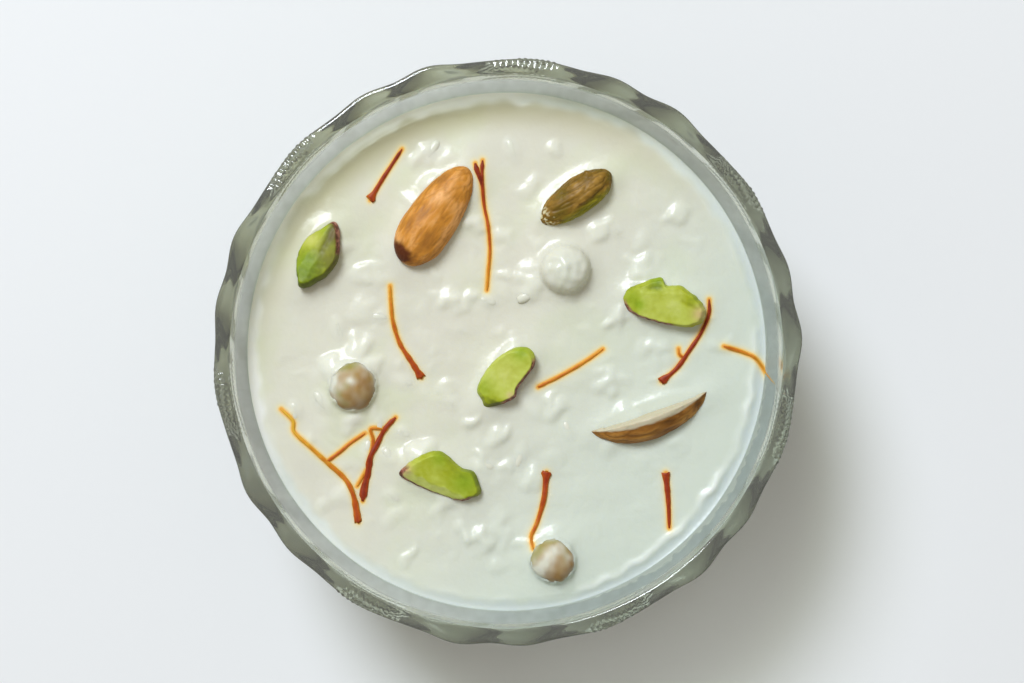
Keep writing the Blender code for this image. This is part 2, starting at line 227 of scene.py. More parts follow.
# Saffron threads: points across the bowl in millimetres, width at the start and the end, and colour at the
# start and the end, from 0 for yellow to 1 for maroon. A stigma flares at its open end.
Thread = namedtuple("Thread", "points widths tones flare")
THREADS = (
    Thread(((-21.3, 41.2), (-23.2, 38.3), (-25.4, 34.9), (-27.8, 30.9)), (0.6, 1.1), (0.96, 0.8), 2.1),
    Thread(((-4.9, 38.9), (-5.0, 35.4), (-4.6, 30.0), (-3.8, 25.8), (-3.4, 20.7), (-3.7, 16.4), (-4.0, 12.5)),
           (0.75, 0.5), (0.97, 0.3), 0.0),
    Thread(((-6.4, 38.3), (-6.0, 36.8), (-5.2, 34.8), (-4.9, 33.0)), (1.0, 0.7), (0.95, 0.95), 0.0),
    Thread(((-23.7, 13.4), (-23.5, 9.4), (-23.1, 6.0), (-21.7, 1.6), (-19.4, -2.0), (-17.4, -5.2)),
           (0.5, 1.2), (0.3, 0.8), 1.9),
    Thread(((-45.9, -11.7), (-43.5, -14.1), (-43.2, -16.4), (-40.0, -19.4), (-36.6, -22.5), (-32.9, -25.9),
            (-31.2, -29.2), (-30.2, -34.6)), (0.45, 1.3), (0.02, 0.72), 1.6),
    Thread(((-36.6, -22.4), (-33.9, -20.4), (-31.9, -18.7), (-28.8, -16.6)), (0.7, 0.35), (0.62, 0.45), 0.0),
    Thread(((-22.6, -13.4), (-24.8, -15.8), (-26.4, -18.9), (-27.7, -21.4), (-28.2, -24.6), (-29.0, -28.0),
            (-29.3, -30.4)), (0.9, 1.5), (0.85, 0.9), 0.0),
    Thread(((-24.6, -15.8), (-27.6, -15.7), (-27.2, -17.8), (-27.5, -20.6)), (0.5, 0.7), (0.35, 0.6), 0.0),
    Thread(((-28.5, -24.1), (-30.4, -27.4)), (0.5, 0.4), (0.45, 0.3), 0.0),
    Thread(((19.6, 0.5), (16.0, -2.0), (11.2, -4.8), (6.4, -7.2)), (0.5, 0.7), (0.35, 0.5), 0.0),
    Thread(((5.4, -40.0), (5.0, -37.6), (6.2, -34.8), (7.6, -29.8), (8.1, -24.6)),
           (0.5, 1.3), (0.4, 0.84), 2.2),
    Thread(((33.1, -35.9), (33.0, -32.2), (32.8, -29.0), (32.4, -24.7)), (0.7, 1.2), (0.8, 0.88), 1.8),
    Thread(((54.2, -6.6), (51.2, -1.9), (48.6, -0.3), (44.2, 1.1)), (0.35, 0.75), (0.25, 0.5), 0.0),
    Thread(((41.2, 10.6), (41.1, 7.5), (39.6, 3.9), (37.3, 0.4), (34.7, -3.3), (31.6, -6.0)),
           (0.6, 1.0), (0.9, 0.86), 1.9),
    Thread(((36.3, -1.4), (35.2, -0.6), (35.0, 0.6)), (0.6, 0.4), (0.6, 0.35), 0.0),
)
THREAD_STEP = 0.35 * MM
THREAD_SIDES = 8
THREAD_FLATNESS = 0.55  # thickness against width
THREAD_LIFT = 0.12 * MM
THREAD_EDGE = 0.5  # how much yellower a thread is along its thin edges
FLARE_LENGTH = 2.2 * MM
STAIN_REACH = 0.75 * MM

SEED = 3


def linear(hex_color):
    """The linear RGBA of an sRGB hex colour."""
    values = [int(hex_color[i:i + 2], 16) / 255.0 for i in (1, 3, 5)]
    values = [v / 12.92 if v <= 0.04045 else ((v + 0.055) / 1.055) ** 2.4 for v in values]
    return (*values, 1.0)


# --- settings


def color_setting(name, description, default):
    """A colour in the panel."""
    return FloatVectorProperty(name=name, description=description, default=linear(default), subtype="COLOR",
                               size=4, min=0.0, max=1.0)


def length_setting(name, description, default):
    """A small length in the panel."""
    return FloatProperty(name=name, description=description, default=default, min=0.0, precision=5,
                         unit="LENGTH")


def amount_setting(name, description, default, low=0.0, unit="NONE"):
    """A number in the panel that doesn't go below low."""
    return FloatProperty(name=name, description=description, default=default, min=low, unit=unit)


def count_setting(name, description, default):
    """A whole number in the panel."""
    return IntProperty(name=name, description=description, default=default, min=0)


class BowlSettings(bpy.types.PropertyGroup):
    """The glass."""

    tint: color_setting("Tint", "Colour that light keeps in thick glass", "#B2B89E")
    density: amount_setting("Density", "How fast the glass takes light, for each metre", 74.0)
    pebble_height: length_setting("Pebble height", "How far the pebbles stand out of their panels", 0.42 * MM)


class PuddingSettings(bpy.types.PropertyGroup):
    """The rice pudding."""

    milk: color_setting("Milk", "Colour of the thickened milk", "#DDDCCB")
    rice: color_setting("Rice", "Colour of a grain just under the surface", "#E2E2D2")
    grains: count_setting("Grains", "Rice grains that show as lumps in the top", 340)
    loose_grains: count_setting("Loose grains", "Rice grains that lie on the top", 34)
    swell: length_setting("Swell", "Height of the top's broad waves", 0.11 * MM)


class GarnishSettings(bpy.types.PropertyGroup):
    """The nuts and raisins."""

    almond: color_setting("Almond skin", "Colour of the whole almond's skin", "#D08C34")
    half_almond: color_setting("Half almond's skin", "Colour of the split almond's soaked skin", "#AC7430")
    raisin: color_setting("Raisin", "Colour of the raisin's skin", "#846420")
    pistachio: color_setting("Pistachio", "Colour of the cut face", "#A6AE26")
    wrinkle: length_setting("Wrinkles", "Depth of the furrows in the almond's skin", 0.2 * MM)


class StageSettings(bpy.types.PropertyGroup):
    """The floor, the lights and the camera."""

    floor: color_setting("Floor", "Colour of the table top", "#EAECED")
    key_power: amount_setting("Key light", "Power of the large soft light", 47.0, unit="POWER")
    key_size: amount_setting("Key light's width", "Width of the round soft light", 0.82, 0.01, "LENGTH")
    sky: amount_setting("Room light", "Strength of the even light from all round", 0.36)
    camera_height: amount_setting("Camera height", "Height of the camera above the rim", 0.6, 0.1, "LENGTH")


SETTINGS = {
    "kheer_bowl": BowlSettings,
    "kheer_pudding": PuddingSettings,
    "kheer_garnish": GarnishSettings,
    "kheer_stage": StageSettings,
}
BUTTONS = {name: [] for name in SETTINGS}  # the operators that stand under each group of settings


def button(group, label):
    """Makes an operator of the panel from a function that builds pieces with a group of settings."""
    def as_operator(build):
        def execute(self, context):
            build(getattr(context.scene, group))
            return {"FINISHED"}

        BUTTONS[group].append(type(f"KHEER_OT_{build.__name__}", (bpy.types.Operator,), {
            "__doc__": build.__doc__,
            "bl_idname": f"kheer.{build.__name__}",
            "bl_label": label,
            "execute": execute,
        }))
        return build
    return as_operator


# --- helpers

MIX_FACTOR, MIX_A, MIX_B, MIX_RESULT = 0, 6, 7, 2  # a colour Mix node's sockets
PRINCIPLED = {"normal": "Normal", "specular": "Specular IOR Level", "transmission": "Transmission Weight"}


class Finish:
    """A material in the making. Every method but the first and the last adds a node and returns its output.

    Colours are sRGB hex strings, settings or other nodes' outputs.
    """

    def __init__(self, name):
        self.made = bpy.data.materials.new(name)
        self.made.use_nodes = True
        self.tree = self.made.node_tree
        self.tree.nodes.clear()

    def node(self, kind, inputs=(), output=0, **settings):
        """Adds a node with its settings, and its inputs as values or as links from other nodes' outputs."""
        node = self.tree.nodes.new("ShaderNode" + kind)
        for name, value in settings.items():
            setattr(node, name, value)
        for name, value in dict(inputs).items():
            if isinstance(value, bpy.types.NodeSocket):
                self.tree.links.new(value, node.inputs[name])
            else:
                node.inputs[name].default_value = linear(value) if isinstance(value, str) else value
        return node.outputs[output] if node.outputs else node

    def place(self, stretch=None):
        """Where a point lies on its piece, with the axes squeezed by a stretch."""
        place = self.node("TexCoord", output="Object")
        return self.node("Mapping", {"Vector": place, "Scale": stretch}) if stretch else place

    def noise(self, size, detail, stretch=None):
        """Smooth noise round 0.5 with lumps of a size."""
        return self.node("TexNoise", {"Vector": self.place(stretch), "Scale": 1 / size, "Detail": detail})

    def painted(self, layer):
        """The number that the mesh stores in a layer."""
        return self.node("Attribute", output="Fac", attribute_name=layer)

    def math(self, operation, *values, clamp=False):
        return self.node("Math", enumerate(values), operation=operation, use_clamp=clamp)

    def ramp(self, share, *stops):
        """The colour that a share picks between the stops, which are (position, colour) pairs."""
        color = self.node("ValToRGB", {"Fac": share})
        elements = color.node.color_ramp.elements
        while len(elements) < len(stops):
            elements.new(0.5)
        for element, (position, value) in zip(elements, stops):
            element.position = position
            element.color = linear(value) if isinstance(value, str) else value
        return color

    def mix(self, share, color, other):
        """A colour that gives way to another by a share."""
        return self.node("Mix", {MIX_FACTOR: share, MIX_A: color, MIX_B: other}, MIX_RESULT, data_type="RGBA")

    def over(self, color, layer, other, strength=None):
        """The colour, with another over it where a layer is painted."""
        share = self.painted(layer)
        return self.mix(self.math("MULTIPLY", share, strength) if strength else share, color, other)

    def bump(self, height, strength, distance):
        return self.node("Bump", {"Height": height, "Strength": strength, "Distance": distance})

    def principled(self, color, roughness, ior, sunk=None, **more):
        """The Principled shader. sunk is how much light sinks in, and how far each colour reaches in mm."""
        inputs = {"Base Color": color, "Roughness": roughness, "IOR": ior}
        if sunk:
            weight, reach = sunk
            inputs.update({"Subsurface Weight": weight, "Subsurface Radius": reach, "Subsurface Scale": MM})
        inputs.update({PRINCIPLED[name]: value for name, value in more.items()})
        return self.node("BsdfPrincipled", inputs)

    def either(self, share, shader, other):
        """A shader that gives way to another by a share."""
        return self.node("MixShader", {"Fac": share, 1: shader, 2: other})

    def done(self, surface, volume=None):
        """The material, with its surface and what fills it."""
        inputs = {"Surface": surface, "Volume": volume} if volume else {"Surface": surface}
        self.node("OutputMaterial", inputs)
        return self.made


def solid_mesh(name, points, faces):
    """A smooth-shaded mesh whose faces point out."""
    mesh = bpy.data.meshes.new(name)
    mesh.from_pydata(np.asarray(points, float).tolist(), [], [tuple(map(int, face)) for face in faces])
    bm = bmesh.new()
    bm.from_mesh(mesh)
    if bm.calc_volume(signed=True) < 0.0:
        bmesh.ops.reverse_faces(bm, faces=bm.faces)
    bm.to_mesh(mesh)
    bm.free()
    mesh.shade_smooth()
    return mesh


def loft_faces(rings, sides, first=0):
    """Faces between rings of `sides` points each, and fans to the two points that follow the last ring."""
    faces = []
    for ring in range(rings - 1):
        a = first + ring * sides
        b = a + sides
        for i in range(sides):
            j = (i + 1) % sides
            faces.append((a + i, a + j, b + j, b + i))
    start = first + rings * sides
    last = first + (rings - 1) * sides
    for i in range(sides):
        j = (i + 1) % sides
        faces.append((start, first + j, first + i))
        faces.append((start + 1, last + i, last + j))
    return faces


def loft_points(rings):
    """The rings' points in one list, with the two middles that close the ends."""
    rings = np.asarray(rings, float)
    return np.vstack([rings.reshape(-1, 3), rings[0].mean(axis=0), rings[-1].mean(axis=0)])


def kernel(size, taper, fullness, sharpness, rings, sides):
    """A nut, raisin or grain along X, as rings of points that follow each other in one list."""
    along = np.cos(np.linspace(math.pi, 0.0, rings + 2)[1:-1])[:, None]
    around_axis = np.linspace(0.0, math.tau, sides, endpoint=False)[None, :]
    girth = (1.0 - np.abs(along) ** fullness) ** sharpness * (1.0 - taper * along)
    x = np.broadcast_to(along * size[0] / 2, (rings, sides))
    y = np.cos(around_axis) * girth * size[1] / 2
    z = np.sin(around_axis) * girth * size[2] / 2
    return np.stack([x, y, z], axis=-1).reshape(-1, 3)


def circle(radius, bearing, height):
    """Points round the Z axis."""
    return np.stack(np.broadcast_arrays(radius * np.cos(bearing), radius * np.sin(bearing), height), axis=-1)


def paint(mesh, name, values, rest=0.0):
    """Stores a number for each point of the mesh, for its material to read. Points with no value get rest."""
    whole = np.full(len(mesh.vertices), rest, np.float32)
    whole[:np.size(values)] = np.ravel(values)
    mesh.attributes.new(name, "FLOAT", "POINT").data.foreach_set("value", whole)


def spline(points, samples, closed=False):
    """Points spread evenly along the smooth curve through the given ones."""
    points = np.array(points, float)
    if closed:
        points = np.vstack([points[-1], points, points[:2]])
    else:
        points = np.vstack([2 * points[0] - points[1], points, 2 * points[-1] - points[-2]])
    curve = []
    for a, b, c, d in zip(points, points[1:], points[2:], points[3:]):
        for t in np.arange(0.0, 1.0, 1 / 16):
            cubic = (3 * b - a - 3 * c + d) * t ** 3
            curve.append(0.5 * (2 * b + (c - a) * t + (2 * a - 5 * b + 4 * c - d) * t ** 2 + cubic))
    curve.append(points[-2])
    curve = np.array(curve)
    run = np.concatenate([[0.0], np.cumsum(np.linalg.norm(np.diff(curve, axis=0), axis=1))])
    at = np.linspace(0.0, run[-1], samples, endpoint=not closed)
    return np.column_stack([np.interp(at, run, curve[:, i]) for i in range(curve.shape[1])])


def rough(points, sizes, shift=0.0):
    """Smooth noise from -1 to 1 at each point, with lumps as long along X, Y and Z as sizes say in mm."""
    scaled = np.asarray(points, float) / (np.array(sizes) * MM) + shift
    return np.array([noise.noise(Vector(p)) for p in scaled])


def step_up(value, low, high):
    """0 below low, 1 above high, and a smooth step between."""
    share = np.clip((value - low) / (high - low), 0.0, 1.0)
    return share * share * (3.0 - 2.0 * share)


def turned(x, y, bearing):
    """x and y in a frame whose X axis lies along the bearing."""
    cos, sin = math.cos(bearing), math.sin(bearing)
    return x * cos + y * sin, y * cos - x * sin


def angle_from(bearing, middle_bearing):
    """The angle from one bearing to others, between half a turn back and half a turn on."""
    return (bearing - middle_bearing + math.pi) % math.tau - math.pi


def middle(node):
    """The middle of a packed node's box."""
    low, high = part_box(node)
    return (low + high) / 2


def add_piece(name, mesh, finish, nodes=(), turn=None):
    """Adds a piece that rides on the part. A turned piece settles on the middle of the node it stands for."""
    old = bpy.data.objects.get(name)
    if old:
        bpy.data.objects.remove(old)
    mesh.materials.append(finish)
    piece = bpy.data.objects.new(name, mesh)
    bpy.context.scene.collection.objects.link(piece)
    if turn is not None:
        piece.rotation_euler = [math.radians(degrees) for degrees in turn]
        bpy.context.view_layer.update()
        corners = np.array([piece.matrix_world @ v.co for v in mesh.vertices])
        piece.location = middle(nodes[0]) - Vector((corners.min(axis=0) + corners.max(axis=0)) / 2)
    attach(piece, "root")
    if nodes:
        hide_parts(*nodes)
    return piece


# --- the glass


def outer_radius(height):
    """The outside of the turned wall, before the flutes."""
    share = (height - FOOT_HEIGHT) / (LIP_BASE - FOOT_HEIGHT)
    return FOOT_RADIUS + (OUTER_LIP_RADIUS - FOOT_RADIUS) * np.maximum(share, 0.0) ** OUTER_POWER


def inner_radius(height):
    """The smooth inside of the wall."""
    share = (height - FLOOR_HEIGHT) / (LIP_BASE - FLOOR_HEIGHT)
    return INNER_LIP_RADIUS * np.maximum(share, 0.0) ** INNER_POWER


def fluted_radius(share, height):
    """The outside with its flutes, at a share of a flute group. From the shoulder up, their outline stays."""
    relief = np.zeros(np.broadcast(share, height).shape)
    for centre, half_width, proud in FLUTE_LOBES:
        away = np.abs((share - centre + 0.5) % 1.0 - 0.5) / half_width
        relief = np.maximum(relief, proud * np.cos(math.pi / 2 * np.minimum(away, 1.0)))
    low = np.minimum(height, SHOULDER_HEIGHT)
    fade = FLUTE_FOOT_SHARE + (1.0 - FLUTE_FOOT_SHARE) * (low - FOOT_HEIGHT) / (SHOULDER_HEIGHT - FOOT_HEIGHT)
    sink = FLUTE_SINK * step_up(height, FLOOR_HEIGHT, SHOULDER_HEIGHT)
    fluted = outer_radius(low) + relief * fade - sink
    plain = outer_radius(height)
    return (fluted + plain + np.hypot(fluted - plain, FLUTE_BLEND)) / 2


def outside_heights():
    """Heights of the outside's rows from under the lip to the foot, and how many lie in the panels."""
    top = RIM_HEIGHT - OUTER_CORNER[1]
    rows = PEBBLE_ROWS * round((top - PANEL_BOTTOM) / PANEL_ROW / PEBBLE_ROWS)
    panel = np.linspace(top, PANEL_BOTTOM, rows + 1)
    fine = np.linspace(PANEL_BOTTOM, FOOT_HEIGHT, 2000)
    run = np.concatenate([[0.0], np.cumsum(np.hypot(np.diff(fine), np.diff(outer_radius(fine))))])
    return np.concatenate([panel, np.interp(np.linspace(0.0, run[-1], PLAIN_ROWS + 1), run, fine)[1:]]), rows


def pebble_relief(rows, column, rng):
    """Courses of staggered domes of uneven height over one panel."""
    row = np.arange(rows)[:, None]
    course = row // PEBBLE_ROWS
    shifted = column + PEBBLE_COLUMNS // 2 * (course % 2)
    across = (shifted % PEBBLE_COLUMNS - PEBBLE_COLUMNS / 2) / PEBBLE_CELLS
    down = (row % PEBBLE_ROWS - PEBBLE_ROWS / 2) / PEBBLE_CELLS
    dome = np.sqrt(np.clip(1.0 - across ** 2 - down ** 2, 0.0, None))
    size = rng.uniform(0.6, 1.0, (course.max() + 1, PANEL_PEBBLES + 2))
    whole = (shifted // PEBBLE_COLUMNS < PANEL_PEBBLES) & (column >= PEBBLE_COLUMNS // 2 * (course % 2))
    return dome * size[course, shifted // PEBBLE_COLUMNS] * whole


def lip_ticks(column, rng):
    """How deep the ticks across the lip are at each column, and how far in the corner starts there."""
    pebble = column // PEBBLE_COLUMNS
    across = np.abs(column % PEBBLE_COLUMNS - PEBBLE_COLUMNS / 2) / PEBBLE_CELLS
    depth = across ** 2 * rng.uniform(0.3, 1.0, PANEL_PEBBLES + 1)[pebble]
    inside = step_up(np.minimum(column, column[-1] - column), 0.0, 2.0 * PEBBLE_COLUMNS)
    return depth * inside, inside


def bowl_mesh(pebble_height):
    """The bowl in one skin: inside, lip, outside and foot.

    The outside has a column every quarter of a pebble in the panels, and wide columns with few rows between.
    """
    panel_columns = PANEL_PEBBLES * PEBBLE_COLUMNS
    in_panel = np.linspace(PANEL[0], PANEL[1], panel_columns + 1)
    between = np.linspace(PANEL[1], PANEL[0] + 1.0, PLAIN_COLUMNS + 1)[1:-1]
    group = np.concatenate([in_panel, between])
    share = np.tile(group, FLUTE_GROUPS)
    columns = len(share)
    bearing = (np.repeat(np.arange(FLUTE_GROUPS), len(group)) + share) * math.tau / FLUTE_GROUPS
    fine = np.tile(np.arange(len(group)) <= panel_columns, FLUTE_GROUPS)

    heights, panel_rows = outside_heights()
    radius = fluted_radius(share[None, :], heights[:, None])
    rng = np.random.RandomState(SEED)
    tick = np.zeros(columns)
    corner_width = np.full(columns, OUTER_CORNER[0])
    for g in range(FLUTE_GROUPS):
        panel = slice(g * len(group), g * len(group) + panel_columns + 1)
        relief = pebble_relief(panel_rows, np.arange(panel_columns + 1), rng)
        radius[:panel_rows, panel] += pebble_height * relief
        depth, inside = lip_ticks(np.arange(panel_columns + 1), rng)
        tick[panel] = TICK_DEPTH * depth
        corner_width[panel] += (TICK_WIDTH - OUTER_CORNER[0]) * inside
    wound = bearing[None, :] + FLUTE_WIND * (SHOULDER_HEIGHT - np.minimum(heights[:, None], SHOULDER_HEIGHT))

    profile = []
    for t in np.arange(1, INSIDE_RINGS + 1) / INSIDE_RINGS:
        height = FLOOR_HEIGHT + (LIP_BASE - FLOOR_HEIGHT) * t ** INSIDE_SPREAD
        profile.append((inner_radius(height), height))
    corner = np.linspace(0.0, math.pi / 2, LIP_CORNER_POINTS)
    for t in corner:
        profile.append((INNER_LIP_RADIUS + INNER_CORNER[0] * (1.0 - math.cos(t)),
                        RIM_HEIGHT - INNER_CORNER[1] * (1.0 - math.sin(t))))
    for t in corner[:0:-1]:
        profile.append((radius[0] - corner_width * (1.0 - math.cos(t)),
                        RIM_HEIGHT - OUTER_CORNER[1] * (1.0 - math.sin(t)) - tick * math.sin(2 * t)))
    ring_radius = FOOT_RADIUS - FOOT_RING_WIDTH
    foot = [(FOOT_RADIUS, FOOT_EDGE), (FOOT_RADIUS - FOOT_EDGE, 0.0), (ring_radius, 0.0),
            (ring_radius - FOOT_RECESS, FOOT_RECESS)]

    row = np.arange(len(heights))
    plain = (row % (PEBBLE_ROWS // 2) == 0) | (row > panel_rows)
    used = fine[None, :] | plain[:, None]
    above = len(profile) * columns
    below = above + int(used.sum())
    centre = below + len(foot) * columns
    index = np.full(used.shape, -1)
    index[used] = np.arange(above, below)
    points = np.vstack([
        *(circle(r, wound[0], z) for r, z in profile),
        circle(radius, wound, heights[:, None])[used],
        *(circle(r, wound[-1], z) for r, z in foot),
        [(0.0, 0.0, FLOOR_HEIGHT), (0.0, 0.0, FOOT_RECESS)],
    ])

    column = np.arange(columns)
    rows = [column + k * columns for k in range(len(profile))] + [index[0]]
    foot_rows = [index[-1]] + [column + below + k * columns for k in range(len(foot))]
    faces = []
    for c in range(columns):
        d = (c + 1) % columns
        faces.append((centre, rows[0][c], rows[0][d]))
        for upper, lower in zip(rows, rows[1:]):
            faces.append((upper[c], lower[c], lower[d], upper[d]))
        for top, bottom in zip(row[plain], row[plain][1:]):
            left = index[top:bottom + 1, c]
            right = index[top:bottom + 1, d]
            if fine[c] and fine[d]:
                faces.extend(zip(left, left[1:], right[1:], right))
            else:
                faces.append((*left[left >= 0], *right[right >= 0][::-1]))
        for upper, lower in zip(foot_rows, foot_rows[1:]):
            faces.append((upper[c], lower[c], lower[d], upper[d]))
        faces.append((foot_rows[-1][c], centre + 1, foot_rows[-1][d]))
    mesh = solid_mesh("bowl_glass", points, faces)
    mesh.set_sharp_from_angle(angle=GLASS_EDGE_ANGLE)
    return mesh


def pressed_glass(settings):
    """Soda-lime glass, pressed in a mould and fire-polished.

    Thin walls are almost clear and thick edges go grey-green. The mould leaves faint waves and a breath of
    haze in the surface. Lamps shine through it, so its shadow is only a soft grey.
    """
    finish = Finish("pressed_soda_lime_glass")
    waves = finish.bump(finish.noise(7 * MM, 1.0), 0.25, 0.35 * MM)
    glass = finish.principled("#F3F4E9", 0.1, 1.52, transmission=0.9, normal=waves)
    passed = finish.node("BsdfTransparent", {"Color": "#E6E8E3"})
    inside = finish.node("VolumeAbsorption", {"Color": settings.tint, "Density": settings.density})
    return finish.done(finish.either(finish.node("LightPath", output="Is Shadow Ray"), glass, passed), inside)


@button("kheer_bowl", "Glass bowl")
def add_bowl(settings):
    """Adds the pressed-glass bowl with its flutes and pebbled panels."""
    add_piece("bowl_glass", bowl_mesh(settings.pebble_height), pressed_glass(settings), ["bowl"])


# --- the pudding


def ripples(x, y, length, waves, rng):
    """A random swell with waves of about the given length, and of height 1 on average."""
    total = np.zeros_like(x)
    for _ in range(waves):
        bearing, phase = rng.uniform(0.0, math.tau, 2)
        stretch = length * rng.uniform(0.7, 1.5)
        along = x * math.cos(bearing) + y * math.sin(bearing)
        total += np.cos(math.tau * along / stretch + phase)
    return total * math.sqrt(2.0 / waves)


def around(bearing, lobes, rng):
    """A random unevenness from -1 to 1 along a circle."""
    total = np.zeros_like(bearing)
    for k in lobes:
        total += np.cos(k * bearing + rng.uniform(0.0, math.tau))
    return total / len(lobes)


def film_side(bearing):
    """1 on the side where milk has run up the glass, and 0 away from it."""
    return np.exp(-(angle_from(bearing, FILM_BEARING) / FILM_SPREAD) ** 2)


def wall_climb(bearing):
    """How far the milk climbs the glass at each bearing."""
    rng = np.random.RandomState(SEED + 1)
    uneven = 1.0 + 0.5 * around(bearing, (2, 5, 9, 14, 23), rng)
    return WALL_CLIMB * (uneven + 0.9 * film_side(bearing))


def wall_level(bearing):
    """The height at which the pudding meets the glass."""
    return FILL_HEIGHT - SHORE_DROP + wall_climb(bearing)


def shore(x, y):
    """How far the thin milk by the glass has taken over, and the ridge where the pudding ends."""
    bearing = np.arctan2(y, x)
    rng = np.random.RandomState(SEED + 7)
    wander = 0.8 * MM * around(bearing, (3, 5, 8, 13), rng)
    wander += 0.7 * MM * around(bearing, (21, 34, 47, 61), rng)
    beyond = np.hypot(x, y) - SHORE_RADIUS - wander
    patchy = 0.6 + 0.9 * around(bearing, (7, 11, 19, 31), rng)
    ridge = np.exp(-(beyond / (0.8 * MM)) ** 2) * np.clip(patchy, 0.1, 1.0)
    ridge *= 0.12 + 0.88 * film_side(bearing)
    return step_up(beyond, -0.4 * MM, 1.3 * MM), ridge


class PuddingTop:
    """The uneven top of the pudding, as a square map of heights above the table."""

    def __init__(self, settings):
        side = int(round(2 * MAP_REACH / MAP_CELL)) + 1
        self.axis = np.linspace(-MAP_REACH, MAP_REACH, side)
        self.x, self.y = np.meshgrid(self.axis, self.axis)
        rng = np.random.RandomState(SEED + 2)
        self.warp = [0.45 * MM * ripples(self.x, self.y, 4.5 * MM, 30, rng) for _ in range(2)]
        grains = np.zeros_like(self.x)
        for x, y, busy in self.sown(settings.grains, rng):
            size = (rng.uniform(2.4, 3.4) * MM, rng.uniform(1.1, 1.6) * MM)
            bearing = rng.uniform(0.0, math.pi)
            self.stamp(grains, x, y, bearing, size, rng.uniform(0.0, 0.3) ** 1.4 * MM * busy)
        for x, y, busy in self.sown(settings.grains // 4, rng):
            size = np.array((1.0, rng.uniform(0.45, 0.9))) * rng.uniform(2.2, 4.2) * MM
            bearing = rng.uniform(0.0, math.pi)
            self.stamp(grains, x, y, bearing, size, rng.uniform(0.10, 0.46) * size[1] * busy)
        self.loose = []
        for x, y, busy in self.sown(settings.loose_grains, rng):
            size = (rng.uniform(2.1, 2.9) * MM, rng.uniform(1.0, 1.25) * MM)
            self.loose.append((x, y, rng.uniform(0.0, math.pi), size, rng.uniform(0.01, 0.05) * MM))
            self.stamp(grains, x, y, self.loose[-1][2], np.array(size) * (1.25, 1.7), 0.36 * MM, 0.0)
        self.grains = self.softened(grains)
        radius = np.hypot(self.x, self.y)
        wall = inner_radius(FILL_HEIGHT)
        bearing = np.arctan2(self.y, self.x)
        _, ridge = shore(self.x, self.y)
        swell = settings.swell * (ripples(self.x, self.y, 21 * MM, 20, rng)
                                  + 0.45 * ripples(self.x, self.y, 8 * MM, 30, rng))
        climb = wall_climb(bearing) * np.exp(-np.maximum(wall - radius, 0.0) / WALL_REACH)
        drop = SHORE_DROP * step_up(radius, SHORE_RADIUS - 0.6 * MM, wall)
        self.heights = FILL_HEIGHT + swell * (1.0 - np.minimum(radius / wall, 1.0) ** 6) + self.grains
        self.heights += climb - drop + SHORE_RISE * ridge
        for collar in garnish_collars():
            self.heights += self.collar(*collar)
        for number, raisin in enumerate(PLUMP_RAISINS, start=1):
            self.cling(middle(f"plump_raisin_{number}"), raisin)

    @staticmethod
    def busy(x, y):
        """How many grains show: most in the middle and towards -X and -Y, few near the glass."""
        lean = 0.72 - 0.30 * (0.45 * x + 0.9 * y) / (50 * MM)
        cluster = step_up(noise.noise(Vector((x, y, 0.0)) / (9 * MM)), -0.35, 0.35)
        inland = 1.0 - step_up(math.hypot(x, y), 40 * MM, 50 * MM)
        return np.clip(lean, 0.15, 1.0) * (0.25 + 0.75 * cluster) * inland

    def sown(self, count, rng):
        """Random places on the top, with how busy it is there."""
        found = []
        while len(found) < count:
            x, y = rng.uniform(-50 * MM, 50 * MM, 2)
            busy = float(self.busy(x, y))
            if rng.uniform() < busy:
                found.append((x, y, 0.5 + 0.5 * busy))
        return found

    def stamp(self, layer, x, y, bearing, size, rise, warp=1.0):
        """Raises the map to a low mound, where it isn't higher already. The warp bends its outline."""
        first = np.searchsorted(self.axis, (x - size[0], y - size[0]))
        last = np.searchsorted(self.axis, (x + size[0], y + size[0]))
        window = (slice(first[1], last[1]), slice(first[0], last[0]))
        u, v = turned(self.x[window] + warp * self.warp[0][window] - x,
                      self.y[window] + warp * self.warp[1][window] - y, bearing)
        mound = rise * np.clip(1.0 - (u / size[0]) ** 2 - (v / size[1]) ** 2, 0.0, None) ** 1.6
        layer[window] = np.maximum(layer[window], mound)

    @staticmethod
    def softened(layer):
        """The layer blurred over SOFTENING."""
        reach = int(round(3 * SOFTENING / MAP_CELL))
        weights = np.exp(-0.5 * (np.arange(-reach, reach + 1) * MAP_CELL / SOFTENING) ** 2)
        weights /= weights.sum()
        for axis in (0, 1):
            shifts = range(-reach, reach + 1)
            layer = sum(weight * np.roll(layer, shift, axis) for weight, shift in zip(weights, shifts))
        return layer

    def collar(self, x, y, bearing, half_length, half_width, rise, reach, power):
        """The milk drawn up against the garnish: level round a low piece, and in a skirt round a ball."""
        u, v = turned(self.x - x, self.y - y, bearing)
        outside = np.maximum(np.hypot(u / half_length, v / half_width) - 1.0, 0.0) * half_width
        return rise * np.exp(-(outside / reach) ** power)

    def cling(self, place, raisin):
        """Draws a lumpy skin of pudding up over a ball."""
        u, v = turned(self.x - place.x, self.y - place.y, math.radians(raisin.bearing))
        inside = 1.0 - (2 * u / raisin.size[0]) ** 2 - (2 * v / raisin.size[1]) ** 2
        lumps = ripples(self.x, self.y, 2.6 * MM, 24, np.random.RandomState(SEED + 9))
        skin = CLING_SKIN + CLING_LUMPS * lumps
        ball = place.z + raisin.size[2] / 2 * np.sqrt(np.maximum(inside, 0.0)) + skin
        top = FILL_HEIGHT + raisin.cling + 2 * (skin - CLING_SKIN)
        ball = np.where(inside > 0.0, np.minimum(ball, top), 0.0)
        blend = CLING_BLEND if raisin.cling < raisin.size[2] / 2 else 3 * CLING_BLEND
        self.heights = (self.heights + ball + np.hypot(self.heights - ball, blend)) / 2

